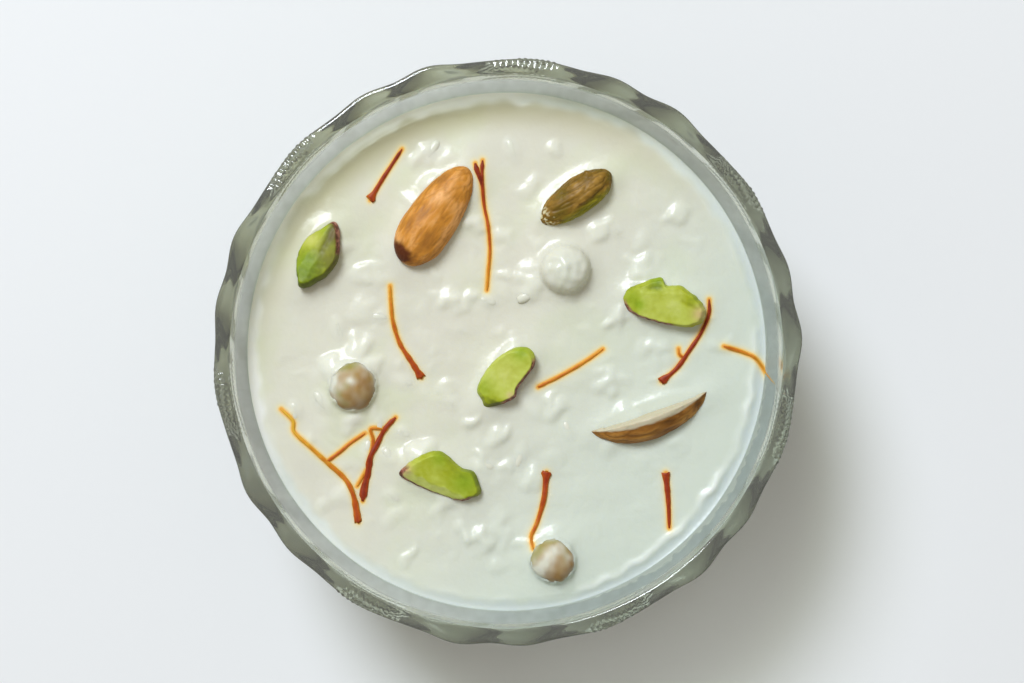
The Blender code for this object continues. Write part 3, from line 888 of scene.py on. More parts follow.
    def sample(self, layer, x, y):
        """A layer's value at any place."""
        cells = np.stack([np.asarray(y), np.asarray(x)])
        cells = np.clip((cells + MAP_REACH) / MAP_CELL, 0, len(self.axis) - 1.001)
        i, j = cells.astype(int)
        s, t = cells - (i, j)
        upper = layer[i, j] * (1 - t) + layer[i, j + 1] * t
        lower = layer[i + 1, j] * (1 - t) + layer[i + 1, j + 1] * t
        return upper * (1 - s) + lower * s

    def height(self, x, y):
        """The top's height above the table."""
        return self.sample(self.heights, x, y)


def garnish_collars():
    """Where the pudding is drawn up: place, bearing, half sizes, rise, reach and how it falls away."""
    rows = [
        ("almond_whole", ALMOND_TURN[2], 11.4 * MM, 4.8 * MM, 1.0 * MM, 1.8 * MM, 1.4),
        ("almond_half", HALF_ALMOND_TURN[2], 12.4 * MM, 3.0 * MM, 0.5 * MM, 1.4 * MM, 1.4),
        ("raisin", RAISIN_TURN[2], 8.4 * MM, 3.5 * MM, 0.9 * MM, 1.5 * MM, 1.4),
    ]
    for number, raisin in enumerate(PLUMP_RAISINS, start=1):
        rows.append((f"plump_raisin_{number}", raisin.bearing, raisin.size[0] * 0.44, raisin.size[1] * 0.44,
                     raisin.collar, 1.9 * MM, 1.0))
    for number, pistachio in enumerate(PISTACHIOS, start=1):
        rows.append((f"pistachio_{number}", pistachio.turn[2], 7.4 * MM, 3.7 * MM, 1.0 * MM, 1.6 * MM, 1.4))
    return [(middle(node).x, middle(node).y, math.radians(degrees), *sizes) for node, degrees, *sizes in rows]


def saffron_stain(x, y):
    """How strongly the saffron has dyed the milk at each place, from 0 to 1."""
    stain = np.zeros_like(x)
    for thread in THREADS:
        path = spline(np.array(thread.points) * MM, 60)
        low, high = path.min(axis=0) - 4 * MM, path.max(axis=0) + 4 * MM
        near = np.flatnonzero((x > low[0]) & (x < high[0]) & (y > low[1]) & (y < high[1]))
        away = np.min(np.hypot(x[near, None] - path[:, 0], y[near, None] - path[:, 1]), axis=1)
        stain[near] = np.maximum(stain[near], np.exp(-(away / STAIN_REACH) ** 1.3))
    return stain


def disk_grid(cells):
    """A square grid of points spread over the unit disk, whose border lies on the circle."""
    line = np.linspace(-1.0, 1.0, cells + 1)
    a, b = np.meshgrid(line, line)
    wide = np.abs(a) > np.abs(b)
    radius = np.where(wide, a, b)
    safe = np.where(radius == 0.0, 1.0, radius)
    bearing = np.where(wide, math.pi / 4 * b / safe, math.pi / 2 - math.pi / 4 * a / safe)
    return radius * np.cos(bearing), radius * np.sin(bearing)


def pudding_mesh(top):
    """The top over a fine grid, and sides that reach just into the glass down to the floor."""
    unit_x, unit_y = disk_grid(TOP_CELLS)
    edge = inner_radius(wall_level(np.arctan2(unit_y, unit_x))) + GLASS_SINK
    x, y = (unit_x * edge).ravel(), (unit_y * edge).ravel()
    surface = np.column_stack([x, y, top.height(x, y)])
    side = TOP_CELLS + 1
    number = np.arange(side * side).reshape(side, side)
    corners = number[:-1, :-1], number[:-1, 1:], number[1:, 1:], number[1:, :-1]
    faces = list(zip(*(corner.ravel() for corner in corners)))
    border = np.concatenate([number[0, :-1], number[:-1, -1], number[-1, :0:-1], number[:0:-1, 0]])
    count = len(border)
    rim = surface[border]
    at = np.arctan2(rim[:, 1], rim[:, 0])
    rings = []
    for t in np.linspace(1.0, 0.0, SIDE_RINGS + 1)[1:-1]:
        share = t ** INSIDE_SPREAD
        height = FLOOR_HEIGHT + (rim[:, 2] - FLOOR_HEIGHT) * share
        rings.append(circle(inner_radius(height) + GLASS_SINK, at, height - GLASS_SINK * (1.0 - share)))
    points = np.vstack([surface, *rings, [(0.0, 0.0, FLOOR_HEIGHT - GLASS_SINK)]])
    rows = [border] + [len(surface) + k * count + np.arange(count) for k in range(SIDE_RINGS - 1)]
    for upper, lower in zip(rows, rows[1:]):
        faces.extend(zip(upper, lower, np.roll(lower, -1), np.roll(upper, -1)))
    faces.extend((i, len(points) - 1, j) for i, j in zip(rows[-1], np.roll(rows[-1], -1)))
    mesh = solid_mesh("kheer_pudding", points, faces)

    thin, ridge = shore(x, y)
    paint(mesh, "grain", top.sample(top.grains, x, y) / (0.5 * MM))
    paint(mesh, "stain", saffron_stain(x, y))
    paint(mesh, "thin", thin)
    paint(mesh, "ridge", ridge)
    x, y = points[:, 0], points[:, 1]
    bearing = np.arctan2(y, x)
    # painted light and shade round the bowl: 0 on the lamp's side, 1 on the far side
    paint(mesh, "lee", 0.5 + 0.5 * np.cos(bearing - FILM_BEARING))
    coated = middle("plump_raisin_1")
    near = np.hypot(x - coated.x, y - coated.y) / COATED_REACH
    cool = step_up(turned(x, y, FILM_BEARING)[0], COOL_FROM, COOL_TO)
    paint(mesh, "cool", np.maximum(cool, 0.4 * np.exp(-near ** 2)))
    # painted shade: the glass wall's shadow on the pudding, tinged yellow, strongest on the lamp's side
    near_glass = step_up(np.hypot(x, y), GLASS_SHADE_FROM, GLASS_SHADE_TO)
    paint(mesh, "warm", 0.75 * near_glass * np.clip(np.cos(bearing - GLASS_SHADE_BEARING), 0.0, 1.0) ** 1.5)
    return mesh


def simmered_milk(settings):
    """Milk simmered with rice until thick, cooled under its own wet film.

    Light sinks into it a little, the grains show paler, saffron has dyed it yellow round each thread, and by
    the glass it thins out to a cooler, see-through white.
    """
    finish = Finish("simmered_milk")
    patches = finish.noise(16 * MM, 3.0)
    color = finish.ramp(patches, (0.35, "#DBD9C9"), (0.50, settings.milk), (0.66, "#DADCC3"))
    # painted light and shade: the thin milk by the glass is lighter on the lamp's side and darker round the
    # far side
    thinned = finish.ramp(finish.painted("lee"), (0.0, "#E7E5DA"), (0.2, "#EEEDE6"), (0.31, "#DADED5"),
                          (0.45, "#E6EAE2"), (0.6, "#DAE0D8"), (0.9, "#D0D9D5"))
    color = finish.over(color, "grain", settings.rice)
    color = finish.over(color, "cool", "#D3DBCE")
    # painted shade of the glass wall, tinged yellow
    color = finish.over(color, "warm", "#B6AE88")
    color = finish.over(color, "thin", thinned)
    # the ridge is painted whiter: partly thicker milk, partly painted light on its lit face
    color = finish.over(color, "ridge", "#ECF1EB")
    stain = finish.painted("stain")
    dye = finish.ramp(stain, (0.0, "#E6E4C0"), (0.35, "#F0DC9C"), (0.6, "#F2C468"), (0.9, "#E6963C"))
    color = finish.mix(finish.math("MULTIPLY", stain, 1.6, clamp=True), color, dye)
    fine = finish.bump(finish.noise(1.6 * MM, 2.0), 0.3, 0.25 * MM)
    return finish.done(finish.principled(color, 0.24, 1.37, (0.35, (2.2, 2.0, 1.5)), normal=fine))


@button("kheer_pudding", "Pudding")
def add_pudding(settings):
    """Adds the pudding, with its lumps of rice and the milk drawn up round the garnish and the glass."""
    mesh = pudding_mesh(PuddingTop(settings))
    add_piece("kheer_pudding", mesh, simmered_milk(settings), ["kheer"])


def loose_grain_mesh(top):
    """Grains that lie on the pudding, each sunk by more than half in a low mound."""
    keep_clear = [(x, y, half + 1.5 * MM) for x, y, _, half, *_ in garnish_collars()]
    points, faces = [], []
    for x, y, bearing, size, show in top.loose:
        if any(math.hypot(x - a, y - b) < reach for a, b, reach in keep_clear):
            continue
        length, width = 2 * size[0], 2 * size[1]
        thickness = width * GRAIN_FLATNESS
        rings = kernel((length, width, thickness), 0.0, 2.8, 0.5, GRAIN_RINGS, GRAIN_SIDES)
        grain = loft_points(rings.reshape(GRAIN_RINGS, -1, 3))
        u, v = turned(grain[:, 0], grain[:, 1], -bearing)
        level = float(top.height(x, y)) + show - thickness / 2
        faces.extend(loft_faces(GRAIN_RINGS, GRAIN_SIDES, sum(len(p) for p in points)))
        points.append(np.column_stack([u + x, v + y, grain[:, 2] + level]))
    return solid_mesh("rice_grains", np.vstack(points), faces)


def boiled_rice():
    """Boiled rice: swollen, milk-white and slightly see-through, with a wet shine."""
    finish = Finish("boiled_rice")
    color = finish.ramp(finish.noise(3 * MM, 2.0), (0.3, "#DADAC8"), (0.7, "#E0E0D0"))
    return finish.done(finish.principled(color, 0.24, 1.37, (0.1, (1.0, 0.9, 0.7))))


@button("kheer_pudding", "Loose rice")
def add_rice(settings):
    """Adds the rice grains that lie on the pudding."""
    add_piece("rice_grains", loose_grain_mesh(PuddingTop(settings)), boiled_rice())


def film_mesh():
    """The haze of milk on the glass above the pudding, and thicker milk that has run up it and drained."""
    rng = np.random.RandomState(SEED + 5)
    bearing = np.linspace(-math.pi, math.pi, FILM_SIDES, endpoint=False)
    share = np.exp(-(angle_from(bearing, FILM_BEARING) / FILM_SPREAD) ** 4)
    level = wall_level(bearing)
    ragged = 0.62 + 0.55 * around(bearing, (7, 12, 19, 31, 47), rng)
    ragged += 0.3 * around(bearing, (83, 121, 163), rng)
    reach = level + FILM_CLIMB * share * np.clip(ragged, 0.06, None)
    levels = np.linspace(FILL_HEIGHT - SHORE_DROP - 0.5 * MM, FILM_TOP, FILM_RINGS)
    rings, cover = [], []
    for height in levels:
        thickness = FILM_THICKNESS * (1.0 - 0.8 * step_up(height, FILM_TOP - 2 * MM, FILM_TOP))
        rings.append(circle(inner_radius(height) - thickness, bearing, height))
        foot_haze = 0.8 * np.exp(-np.maximum(height - level, 0.0) / (0.9 * MM))
        cover.append(np.maximum(1.0 - step_up(height, reach, reach + 0.9 * MM), foot_haze))
    rings += [circle(inner_radius(height) + GLASS_SINK / 3, bearing, height) for height in levels[::-1]]
    faces = []
    for number in range(len(rings)):
        a, b = number * FILM_SIDES, (number + 1) % len(rings) * FILM_SIDES
        for i in range(FILM_SIDES):
            j = (i + 1) % FILM_SIDES
            faces.append((a + i, a + j, b + j, b + i))
    points = np.vstack(rings)
    mesh = solid_mesh("milk_film", points, faces)
    paint(mesh, "milk", cover + cover[::-1])
    paint(mesh, "edge", step_up(FILM_TOP - points[:, 2], 0.0, 1.6 * MM))
    paint(mesh, "haze", np.tile(HAZE_MEAN + HAZE_SWING * np.cos(bearing - GLASS_SHADE_BEARING), len(rings)))
    # painted light and shade round the bowl: 0 on the lamp's side, 1 on the far side
    paint(mesh, "lee", np.tile(0.5 + 0.5 * np.cos(bearing - FILM_BEARING), len(rings)))
    return mesh


def drained_milk():
    """Milk left on the glass: a clouded haze with upright streaks, and white where it has run up thick.

    Its shadow is half as strong as it is, because light scatters on through it.
    """
    finish = Finish("drained_milk")
    milk = finish.painted("milk")
    # painted shade: the haze is darker on the far side from the lamp
    hazed = finish.ramp(finish.painted("lee"), (0.0, "#F7F9FF"), (0.65, "#F4F8FA"), (0.95, "#CDD8D9"))
    color = finish.mix(milk, hazed, "#E2E8E3")
    streaks = finish.math("SUBTRACT", finish.noise(3.4 * MM, 1.5, (1.0, 1.0, 0.25)), 0.5)
    haze = finish.math("MULTIPLY_ADD", streaks, 0.5, finish.painted("haze"))
    thick = finish.math("MAXIMUM", milk, haze)
    opaque = finish.math("MULTIPLY", thick, finish.painted("edge"), clamp=True)
    faint = finish.math("MULTIPLY_ADD", finish.node("LightPath", output="Is Shadow Ray"), -0.5, 1.0)
    lit = finish.principled(color, 0.35, 1.36)
    film = finish.either(0.72, lit, finish.node("BsdfTranslucent", {"Color": color}))
    clear = finish.node("BsdfTransparent")
    return finish.done(finish.either(finish.math("MULTIPLY", opaque, faint), clear, film))


@button("kheer_pudding", "Milk on the glass")
def add_milk_film(_settings):
    """Adds the film of milk on the glass above the pudding."""
    add_piece("milk_film", film_mesh(), drained_milk())


# --- almonds, raisins

ALMOND_RINGS, ALMOND_SIDES = 72, 110
HALF_ALMOND_RINGS, HALF_ALMOND_SIDES = 130, 120
RAISIN_RINGS, RAISIN_SIDES = 80, 110
PLUMP_RAISIN_RINGS, PLUMP_RAISIN_SIDES = 48, 72
ALMOND_TIP = (-10.6 * MM, 1.9 * MM, 1.2 * MM)  # the dark end
ALMOND_TIP_SIZE = (2.3 * MM, 3.0 * MM, 3.4 * MM)
PEEL_DEPTH = 1.2 * MM  # how far down its side the half almond has lost its skin in the middle
PEEL_UNEVENNESS = 0.26 * MM
STALK_STUB = (4.6 * MM, 2.6 * MM, 1.6 * MM)
STALK_STUB_HEIGHT = 0.85 * MM
STALK_STUB_RADIUS = 0.7 * MM
AXIS_CLEARANCE = 0.05 * MM  # nearer the axis than this, a push fades out


def pushed_out(points, distance):
    """The points moved away from the X axis."""
    out = points * (0.0, 1.0, 1.0)
    girth = np.linalg.norm(out, axis=-1, keepdims=True)
    return points + out / np.maximum(girth, AXIS_CLEARANCE) * distance[:, None]


def lofted(name, body, rings):
    """A closed mesh over the rings that follow each other in one list, and all its points."""
    body = np.reshape(body, (rings, -1, 3))
    points = loft_points(body)
    return solid_mesh(name, points, loft_faces(rings, body.shape[1])), points


def furrows(points, sizes, width, shift):
    """1 in the bottom of a furrow and 0 between, with furrows as long and as far apart as sizes say."""
    return np.exp(-(rough(points, sizes, shift) / width) ** 2)


def almond_mesh(wrinkle):
    """A whole almond: blunt and dark at -X, narrow at +X, furrowed lengthwise."""
    body = kernel(ALMOND_SIZE, 0.17, 2.6, 0.5, ALMOND_RINGS, ALMOND_SIDES)
    deep = furrows(body, (5.5, 1.6, 1.6), 0.09, 3.1)
    thin = furrows(body, (2.1, 1.0, 1.0), 0.10, 7.7)
    broad = rough(body, (4.5, 2.4, 2.4), 11.0)
    body = pushed_out(body, wrinkle * (1.0 * broad - 0.5 * deep - 0.55 * thin))
    mesh, points = lofted("almond", body, ALMOND_RINGS)
    from_tip = (points - ALMOND_TIP) / ALMOND_TIP_SIZE
    tip_away = np.linalg.norm(from_tip, axis=1) + 0.25 * rough(points, 1.2)
    # painted shade: how far down a furrow each point lies
    paint(mesh, "furrow", np.clip(0.8 * deep + 0.55 * thin, 0.0, 1.0))
    paint(mesh, "pale", 0.5 + 0.9 * broad, 0.5)
    paint(mesh, "tip", 1.0 - step_up(tip_away, 0.65, 1.25))
    return mesh


def half_almond_mesh(wrinkle):
    """Half an almond: a cut face on +Z. The skin's edge is ragged, and lies lowest in the middle."""
    size = (HALF_ALMOND_SIZE[0], HALF_ALMOND_SIZE[1], 2 * HALF_ALMOND_SIZE[2])
    plain = kernel(size, 0.04, 2.0, 0.68, HALF_ALMOND_RINGS, HALF_ALMOND_SIDES)
    deep = furrows(plain, (9, 1.3, 1.3), 0.10, 21.3)
    thin = furrows(plain, (5, 0.6, 0.6), 0.09, 17.7)
    broad = rough(plain, (6, 2.0, 2.0), 31.0)
    skin_side = step_up(-plain[:, 2], 0.0, 0.8 * MM)
    body = pushed_out(plain, wrinkle * (0.8 * broad - 0.6 * deep - 0.3 * thin) * skin_side)
    upper = plain[:, 2] > 0.0
    face = plain[upper]
    dished = -0.25 * MM * np.clip(1.0 - (face[:, 1] / (3.2 * MM)) ** 2, 0.0, None)
    dished *= np.abs(face[:, 0]) < 10 * MM
    body[upper, 2] = dished + 0.04 * MM * rough(face, 1.5)
    mesh, points = lofted("almond_half", body, HALF_ALMOND_RINGS)
    lengthwise = points * (1.0, 0.0, 0.0)
    ragged = 0.5 * rough(lengthwise, 1.6, 5.0)
    ragged += 1.4 * rough(lengthwise, 3.6, 9.0)
    along = points[:, 0] / (11.6 * MM)
    peeled = PEEL_DEPTH * np.clip(1.0 - along ** 2, 0.0, None) + PEEL_UNEVENNESS * ragged
    rind = np.exp(-((points[:, 2] + peeled + 0.25 * MM) / (0.28 * MM)) ** 2)
    furrow = np.append(np.clip(deep + 0.5 * thin, 0.0, 1.0), (0.0, 0.0))
    # painted shade in the furrows, and a darker line along the skin's edge
    paint(mesh, "furrow", np.maximum(furrow, 0.9 * rind * step_up(ragged, -1.2, 1.0)))
    paint(mesh, "pale", 0.5 + 0.8 * broad, 0.5)
    paint(mesh, "tip", step_up(np.abs(points[:, 0]), 11.4 * MM, 12.5 * MM) * 0.6)
    paint(mesh, "flesh", step_up(points[:, 2] + np.maximum(peeled, 0.0), -0.2 * MM, 0.1 * MM))
    return mesh


def almond_skin(name, base, dark, light, tip):
    """An almond's dried skin: papery, in lengthwise furrows that hold a darker dust."""
    finish = Finish(name)
    fibres = finish.noise(0.8 * MM, 4.0, (0.22, 1.0, 1.0))
    shade = finish.math("MULTIPLY_ADD", fibres, 0.75, -0.12)
    both = finish.math("MULTIPLY_ADD", finish.painted("pale"), 0.55, shade, clamp=True)
    color = finish.ramp(both, (0.15, dark), (0.5, base), (0.9, light))
    # painted shade in the furrows; on the split almond the line along the skin's edge is darkened too
    color = finish.over(color, "furrow", dark, 0.6)
    color = finish.over(color, "tip", tip)
    color = finish.over(color, "flesh", finish.ramp(fibres, (0.3, "#C9BFA0"), (0.7, "#D3CBB0")))
    return finish.done(finish.principled(color, 0.5, 1.46, (0.08, (1.0, 0.5, 0.25)), specular=0.28,
                                  normal=finish.bump(fibres, 0.35, 0.15 * MM)))


@button("kheer_garnish", "Almonds")
def add_almonds(settings):
    """Adds the whole almond and the split one."""
    dried = almond_skin("dried_almond_skin", settings.almond, "#A86E2A", "#EDB06A", "#5E2E14")
    add_piece("almond", almond_mesh(settings.wrinkle), dried, ["almond_whole"], ALMOND_TURN)
    soaked = almond_skin("soaked_almond_skin", settings.half_almond, "#70450F", "#CE9746", "#6A3E18")
    add_piece("almond_split", half_almond_mesh(settings.wrinkle), soaked, ["almond_half"],
              HALF_ALMOND_TURN)


def raisin_mesh():
    """A raisin: a slack skin in deep lengthwise folds, with the stub of its stalk at one end."""
    body = kernel(RAISIN_SIZE, -0.06, 2.2, 0.55, RAISIN_RINGS, RAISIN_SIDES)
    folds = furrows(body, (6.5, 1.7, 1.7), 0.10, 41.0)
    creases = furrows(body, (1.7, 0.8, 0.8), 0.12, 47.0)
    broad = rough(body, (4, 2.2, 2.2), 53.0)
    stub_away = np.linalg.norm(body - STALK_STUB, axis=1) / STALK_STUB_RADIUS
    push = 0.28 * MM * broad - 0.18 * MM * folds - 0.12 * MM * creases
    push += STALK_STUB_HEIGHT * np.exp(-stub_away ** 2)
    mesh, points = lofted("raisin", pushed_out(body, push), RAISIN_RINGS)
    # painted shade: how deep in a fold or crease each point lies
    paint(mesh, "furrow", np.clip(0.6 * folds + 0.5 * creases, 0.0, 1.0))
    paint(mesh, "pale", 0.5 + 0.9 * broad, 0.5)
    # painted light: the thin side is painted yellow-green, as light shining through it
    thin_side = -points[:, 1] + 0.3 * MM * rough(points, 1.5)
    paint(mesh, "thin", step_up(thin_side, 1.6 * MM, 3.2 * MM))
    sugar = step_up(rough(points, 0.5, 3.0), 0.05, 0.3)
    paint(mesh, "sugar", sugar * step_up(-points[:, 0], 5.2 * MM, 7.2 * MM))
    return mesh


def raisin_skin(settings):
    """A golden raisin's skin: thin and tacky, darker in its creases.

    Along the thin side light comes through yellow-green, and sugar has dried in grains on one end.
    """
    finish = Finish("golden_raisin_skin")
    both = finish.math("ADD", finish.noise(1.6 * MM, 4.0), finish.painted("pale"))
    color = finish.ramp(finish.math("MULTIPLY", both, 0.5), (0.3, "#75601C"), (0.5, settings.raisin),
                        (0.72, "#A27C34"))
    # painted shade in the folds and creases
    color = finish.over(color, "furrow", "#5A4412", 0.55)
    # painted light: yellow-green along the thin side, as light shining through
    color = finish.over(color, "thin", "#93921C", 0.8)
    color = finish.over(color, "sugar", "#D9D0A8")
    return finish.done(finish.principled(color, 0.45, 1.45, (0.15, (1.6, 1.1, 0.3)), specular=0.28))


def plump_raisin_mesh(name, raisin, shift):
    """A raisin swollen in the milk until it is nearly round, with milk clinging to it."""
    body = kernel(raisin.size, 0.0, 2.2, 0.5, PLUMP_RAISIN_RINGS, PLUMP_RAISIN_SIDES)
    creases = furrows(body, (4, 2.2, 2.2), 0.08, shift)
    broad = rough(body, 3.4, shift + 5.0)
    body = pushed_out(body, 0.2 * MM * broad - 0.12 * MM * creases)
    mesh, points = lofted(name, body, PLUMP_RAISIN_RINGS)
    x, y = turned(points[:, 0], points[:, 1], -math.radians(raisin.bearing))
    wisps = rough(points, 1.6, shift + 9.0)
    milk = np.full(len(points), raisin.milk) + 0.25 * wisps
    for dab_x, dab_y, radius, amount in raisin.dabs:
        away = np.hypot(x - dab_x * MM, y - dab_y * MM) / (radius * MM)
        milk += amount * np.exp(-away ** 2) * (1.0 + 0.6 * wisps)
    shore_line = raisin.collar + 0.9 * MM * rough(points, 2.4, shift)
    milk += 0.8 * (1.0 - step_up(points[:, 2], shore_line - 0.9 * MM, shore_line + 0.9 * MM))
    paint(mesh, "milk", np.clip(milk, 0.0, 1.0))
    # painted light: the side towards the lamp is painted olive
    lit_side_olive = 0.4 * turned(x, y, KEY_BEARING)[0] / (raisin.size[0] / 2)
    paint(mesh, "pale", 0.5 + lit_side_olive + 0.5 * rough(points, 2.6, shift + 3.0))
    return mesh


def plump_raisin_skin():
    """A raisin's skin swollen tight in milk: tan to olive, cloudy where the milk still coats it, and wet."""
    finish = Finish("milk_swollen_raisin_skin")
    color = finish.ramp(finish.painted("pale"), (0.2, "#A07E50"), (0.5, "#AA8C58"), (0.85, "#9A904A"))
    color = finish.over(color, "milk", "#D9D8C8")
    return finish.done(finish.principled(color, 0.45, 1.4, (0.5, (2.4, 2.0, 1.4)), specular=0.3))


@button("kheer_garnish", "Raisins")
def add_raisins(settings):
    """Adds the raisin and the three swollen ones."""
    add_piece("golden_raisin", raisin_mesh(), raisin_skin(settings), ["raisin"], RAISIN_TURN)
    skin = plump_raisin_skin()
    for number, raisin in enumerate(PLUMP_RAISINS, start=1):
        mesh = plump_raisin_mesh(f"swollen_raisin_{number}", raisin, 60.0 + 7.0 * number)
        add_piece(f"swollen_raisin_{number}", mesh, skin, [f"plump_raisin_{number}"],
                  (0.0, 0.0, raisin.bearing))


# --- pistachios

PISTACHIO_SIDES = 132
PISTACHIO_FACE_RINGS = 22
PISTACHIO_FACE_SHARE = 0.86  # the flat part of the cut face against the widest section
PISTACHIO_RAGGEDNESS = 0.035  # of the outline, as a share of its radius
SKIN_FADE = 6  # degrees over which the purple skin runs out
PISTACHIO_SECTIONS = (  # down the side: width against the widest, height as a share of the thickness
    (0.885, 0.49), (0.905, 0.46), (0.93, 0.40), (0.965, 0.31), (1.0, 0.2), (1.0, 0.08), (0.975, -0.06),
    (0.93, -0.18), (0.86, -0.3), (0.76, -0.41), (0.62, -0.5), (0.3, -0.5),
)


def cut_face(pistachio, x, y):
    """How far the knife has gone below the highest part of the face, and the tone that the facets give it."""
    drop = np.zeros_like(x)
    tone = np.full_like(x, pistachio.tone)
    waver = rough(np.stack([x, y, 0.0 * x], axis=-1), 1.5, pistachio.thickness)
    for bearing, distance, slope, facet_tone in pistachio.facets:
        beyond = turned(x, y, math.radians(bearing))[0] - distance * MM + 0.25 * MM * waver
        drop += np.maximum(beyond, 0.0) * slope
        # partly painted light and shade: the tone of a tilted facet
        tone += facet_tone * step_up(beyond + 0.35 * MM * waver, -0.3 * MM, 0.4 * MM)
    for x0, y0, x1, y1, width, depth in pistachio.grooves:
        run = np.array((x1 - x0, y1 - y0)) * MM
        length = np.linalg.norm(run)
        u, v = turned(x - x0 * MM, y - y0 * MM, math.atan2(run[1], run[0]))
        past = np.maximum(np.maximum(-u, u - length), 0.0)
        trench = np.exp(-(np.hypot(v, past) / (width * MM)) ** 2)
        drop += depth * MM * trench
        # painted shade in the groove
        tone -= 0.28 * trench
    return drop, tone


def pistachio_mesh(name, pistachio, shift):
    """A slice of a pistachio: knife facets and grooves on top, and a rounded side that keeps some skin."""
    outline = spline(pistachio.outline, PISTACHIO_SIDES, closed=True) * MM
    ragged = rough(np.column_stack([outline, np.zeros(len(outline))]), 1.1, shift)
    outline = outline * (1.0 + PISTACHIO_RAGGEDNESS * ragged)[:, None]
    face = np.linspace(0.03, PISTACHIO_FACE_SHARE, PISTACHIO_FACE_RINGS)
    sections = [(share, 0.5) for share in face] + list(PISTACHIO_SECTIONS)
    rings = []
    for width, height in sections:
        x, y = outline[:, 0] * width, outline[:, 1] * width
        drop, _ = cut_face(pistachio, x, y)
        kept = step_up(np.full_like(x, height), -0.1, 0.5)
        rings.append(np.column_stack([x, y, height * pistachio.thickness * MM - drop * kept]))
    points = loft_points(rings)
    fine = rough(points, 0.9, shift + 3.0)
    broad = rough(points, 3.0, shift + 8.0)
    points[:, 2] += 0.05 * MM * fine + 0.10 * MM * broad
    mesh = solid_mesh(name, points, loft_faces(len(rings), PISTACHIO_SIDES))

    x, y = points[:, 0], points[:, 1]
    _, tone = cut_face(pistachio, x, y)
    layers = {"tone": tone, "green": np.zeros_like(x), "tan": np.zeros_like(x)}
    for dab_x, dab_y, radius, *amounts in pistachio.dabs:
        weight = np.exp(-(np.hypot(x - dab_x * MM, y - dab_y * MM) / (radius * MM)) ** 2)
        for layer, amount in zip(layers.values(), amounts):
            layer += amount * weight
    width, height = np.vstack([np.repeat(sections, PISTACHIO_SIDES, axis=0), [(0.0, 0.5), (0.3, -0.5)]]).T
    side = step_up(width, 0.87, 0.93) * (height < 0.495)
    side = np.where(height < 0.2, 1.0, side)
    bearing = np.degrees(np.arctan2(y, x))
    start, end = pistachio.skin
    in_skin = step_up(bearing, start - SKIN_FADE, start + SKIN_FADE)
    in_skin *= 1.0 - step_up(bearing, end - SKIN_FADE, end + SKIN_FADE)
    # painted shade: the side away from the lamp is darkened
    tone -= 0.3 * side * step_up(-turned(x, y, KEY_BEARING - math.radians(pistachio.turn[2]))[0], 0.0, 3 * MM)
    tone += 0.25 * broad + 0.12 * fine
    for layer, values in layers.items():
        paint(mesh, layer, np.clip(values, -1.0 if layer == "tone" else 0.0, 1.0))
    paint(mesh, "skin", side * in_skin)
    return mesh


def pistachio_flesh(settings):
    """Pistachio cut with a knife: waxy green flesh, paler where the cut is deep, with shreds of skin."""
    finish = Finish("cut_pistachio")
    grain = finish.noise(0.9 * MM, 4.0)
    centred = finish.math("MULTIPLY_ADD", finish.painted("tone"), 0.5, 0.42)
    varied = finish.math("MULTIPLY_ADD", grain, 0.16, centred, clamp=True)
    color = finish.ramp(varied, (0.0, "#4A4410"), (0.28, "#7A8024"), (0.5, settings.pistachio),
                        (0.72, "#BCC656"), (1.0, "#D2D984"))
    fresh = finish.ramp(varied, (0.0, "#3C4408"), (0.3, "#6C8214"), (0.55, "#90A822"), (1.0, "#B4CB48"))
    color = finish.over(color, "green", fresh)
    color = finish.over(color, "tan", "#CDB47E")
    color = finish.over(color, "skin",
                        finish.ramp(grain, (0.38, "#5A3420"), (0.5, "#854C3E"), (0.64, "#B9826C")))
    return finish.done(finish.principled(color, 0.45, 1.45, (0.15, (0.9, 1.0, 0.3)), specular=0.28,
                                  normal=finish.bump(grain, 0.25, 0.1 * MM)))


@button("kheer_garnish", "Pistachios")
def add_pistachios(settings):
    """Adds the four cut pistachios."""
    flesh = pistachio_flesh(settings)
    for number, pistachio in enumerate(PISTACHIOS, start=1):
        mesh = pistachio_mesh(f"cut_pistachio_{number}", pistachio, 80.0 + 9.0 * number)
        add_piece(f"cut_pistachio_{number}", mesh, flesh, [f"pistachio_{number}"],
                  pistachio.turn)


# --- saffron


def support(top, x, y):
    """The height of what a thread lies on: the pudding, or the glass where it runs up the wall."""
    radius = np.hypot(x, y)
    ground = top.height(x, y)
    wall = np.array([inner_radius(h) for h in np.linspace(FILL_HEIGHT, LIP_BASE, 200)])
    climb = np.interp(radius, wall, np.linspace(FILL_HEIGHT, LIP_BASE, 200))
    return np.maximum(ground, np.where(radius > wall[0], climb, ground))


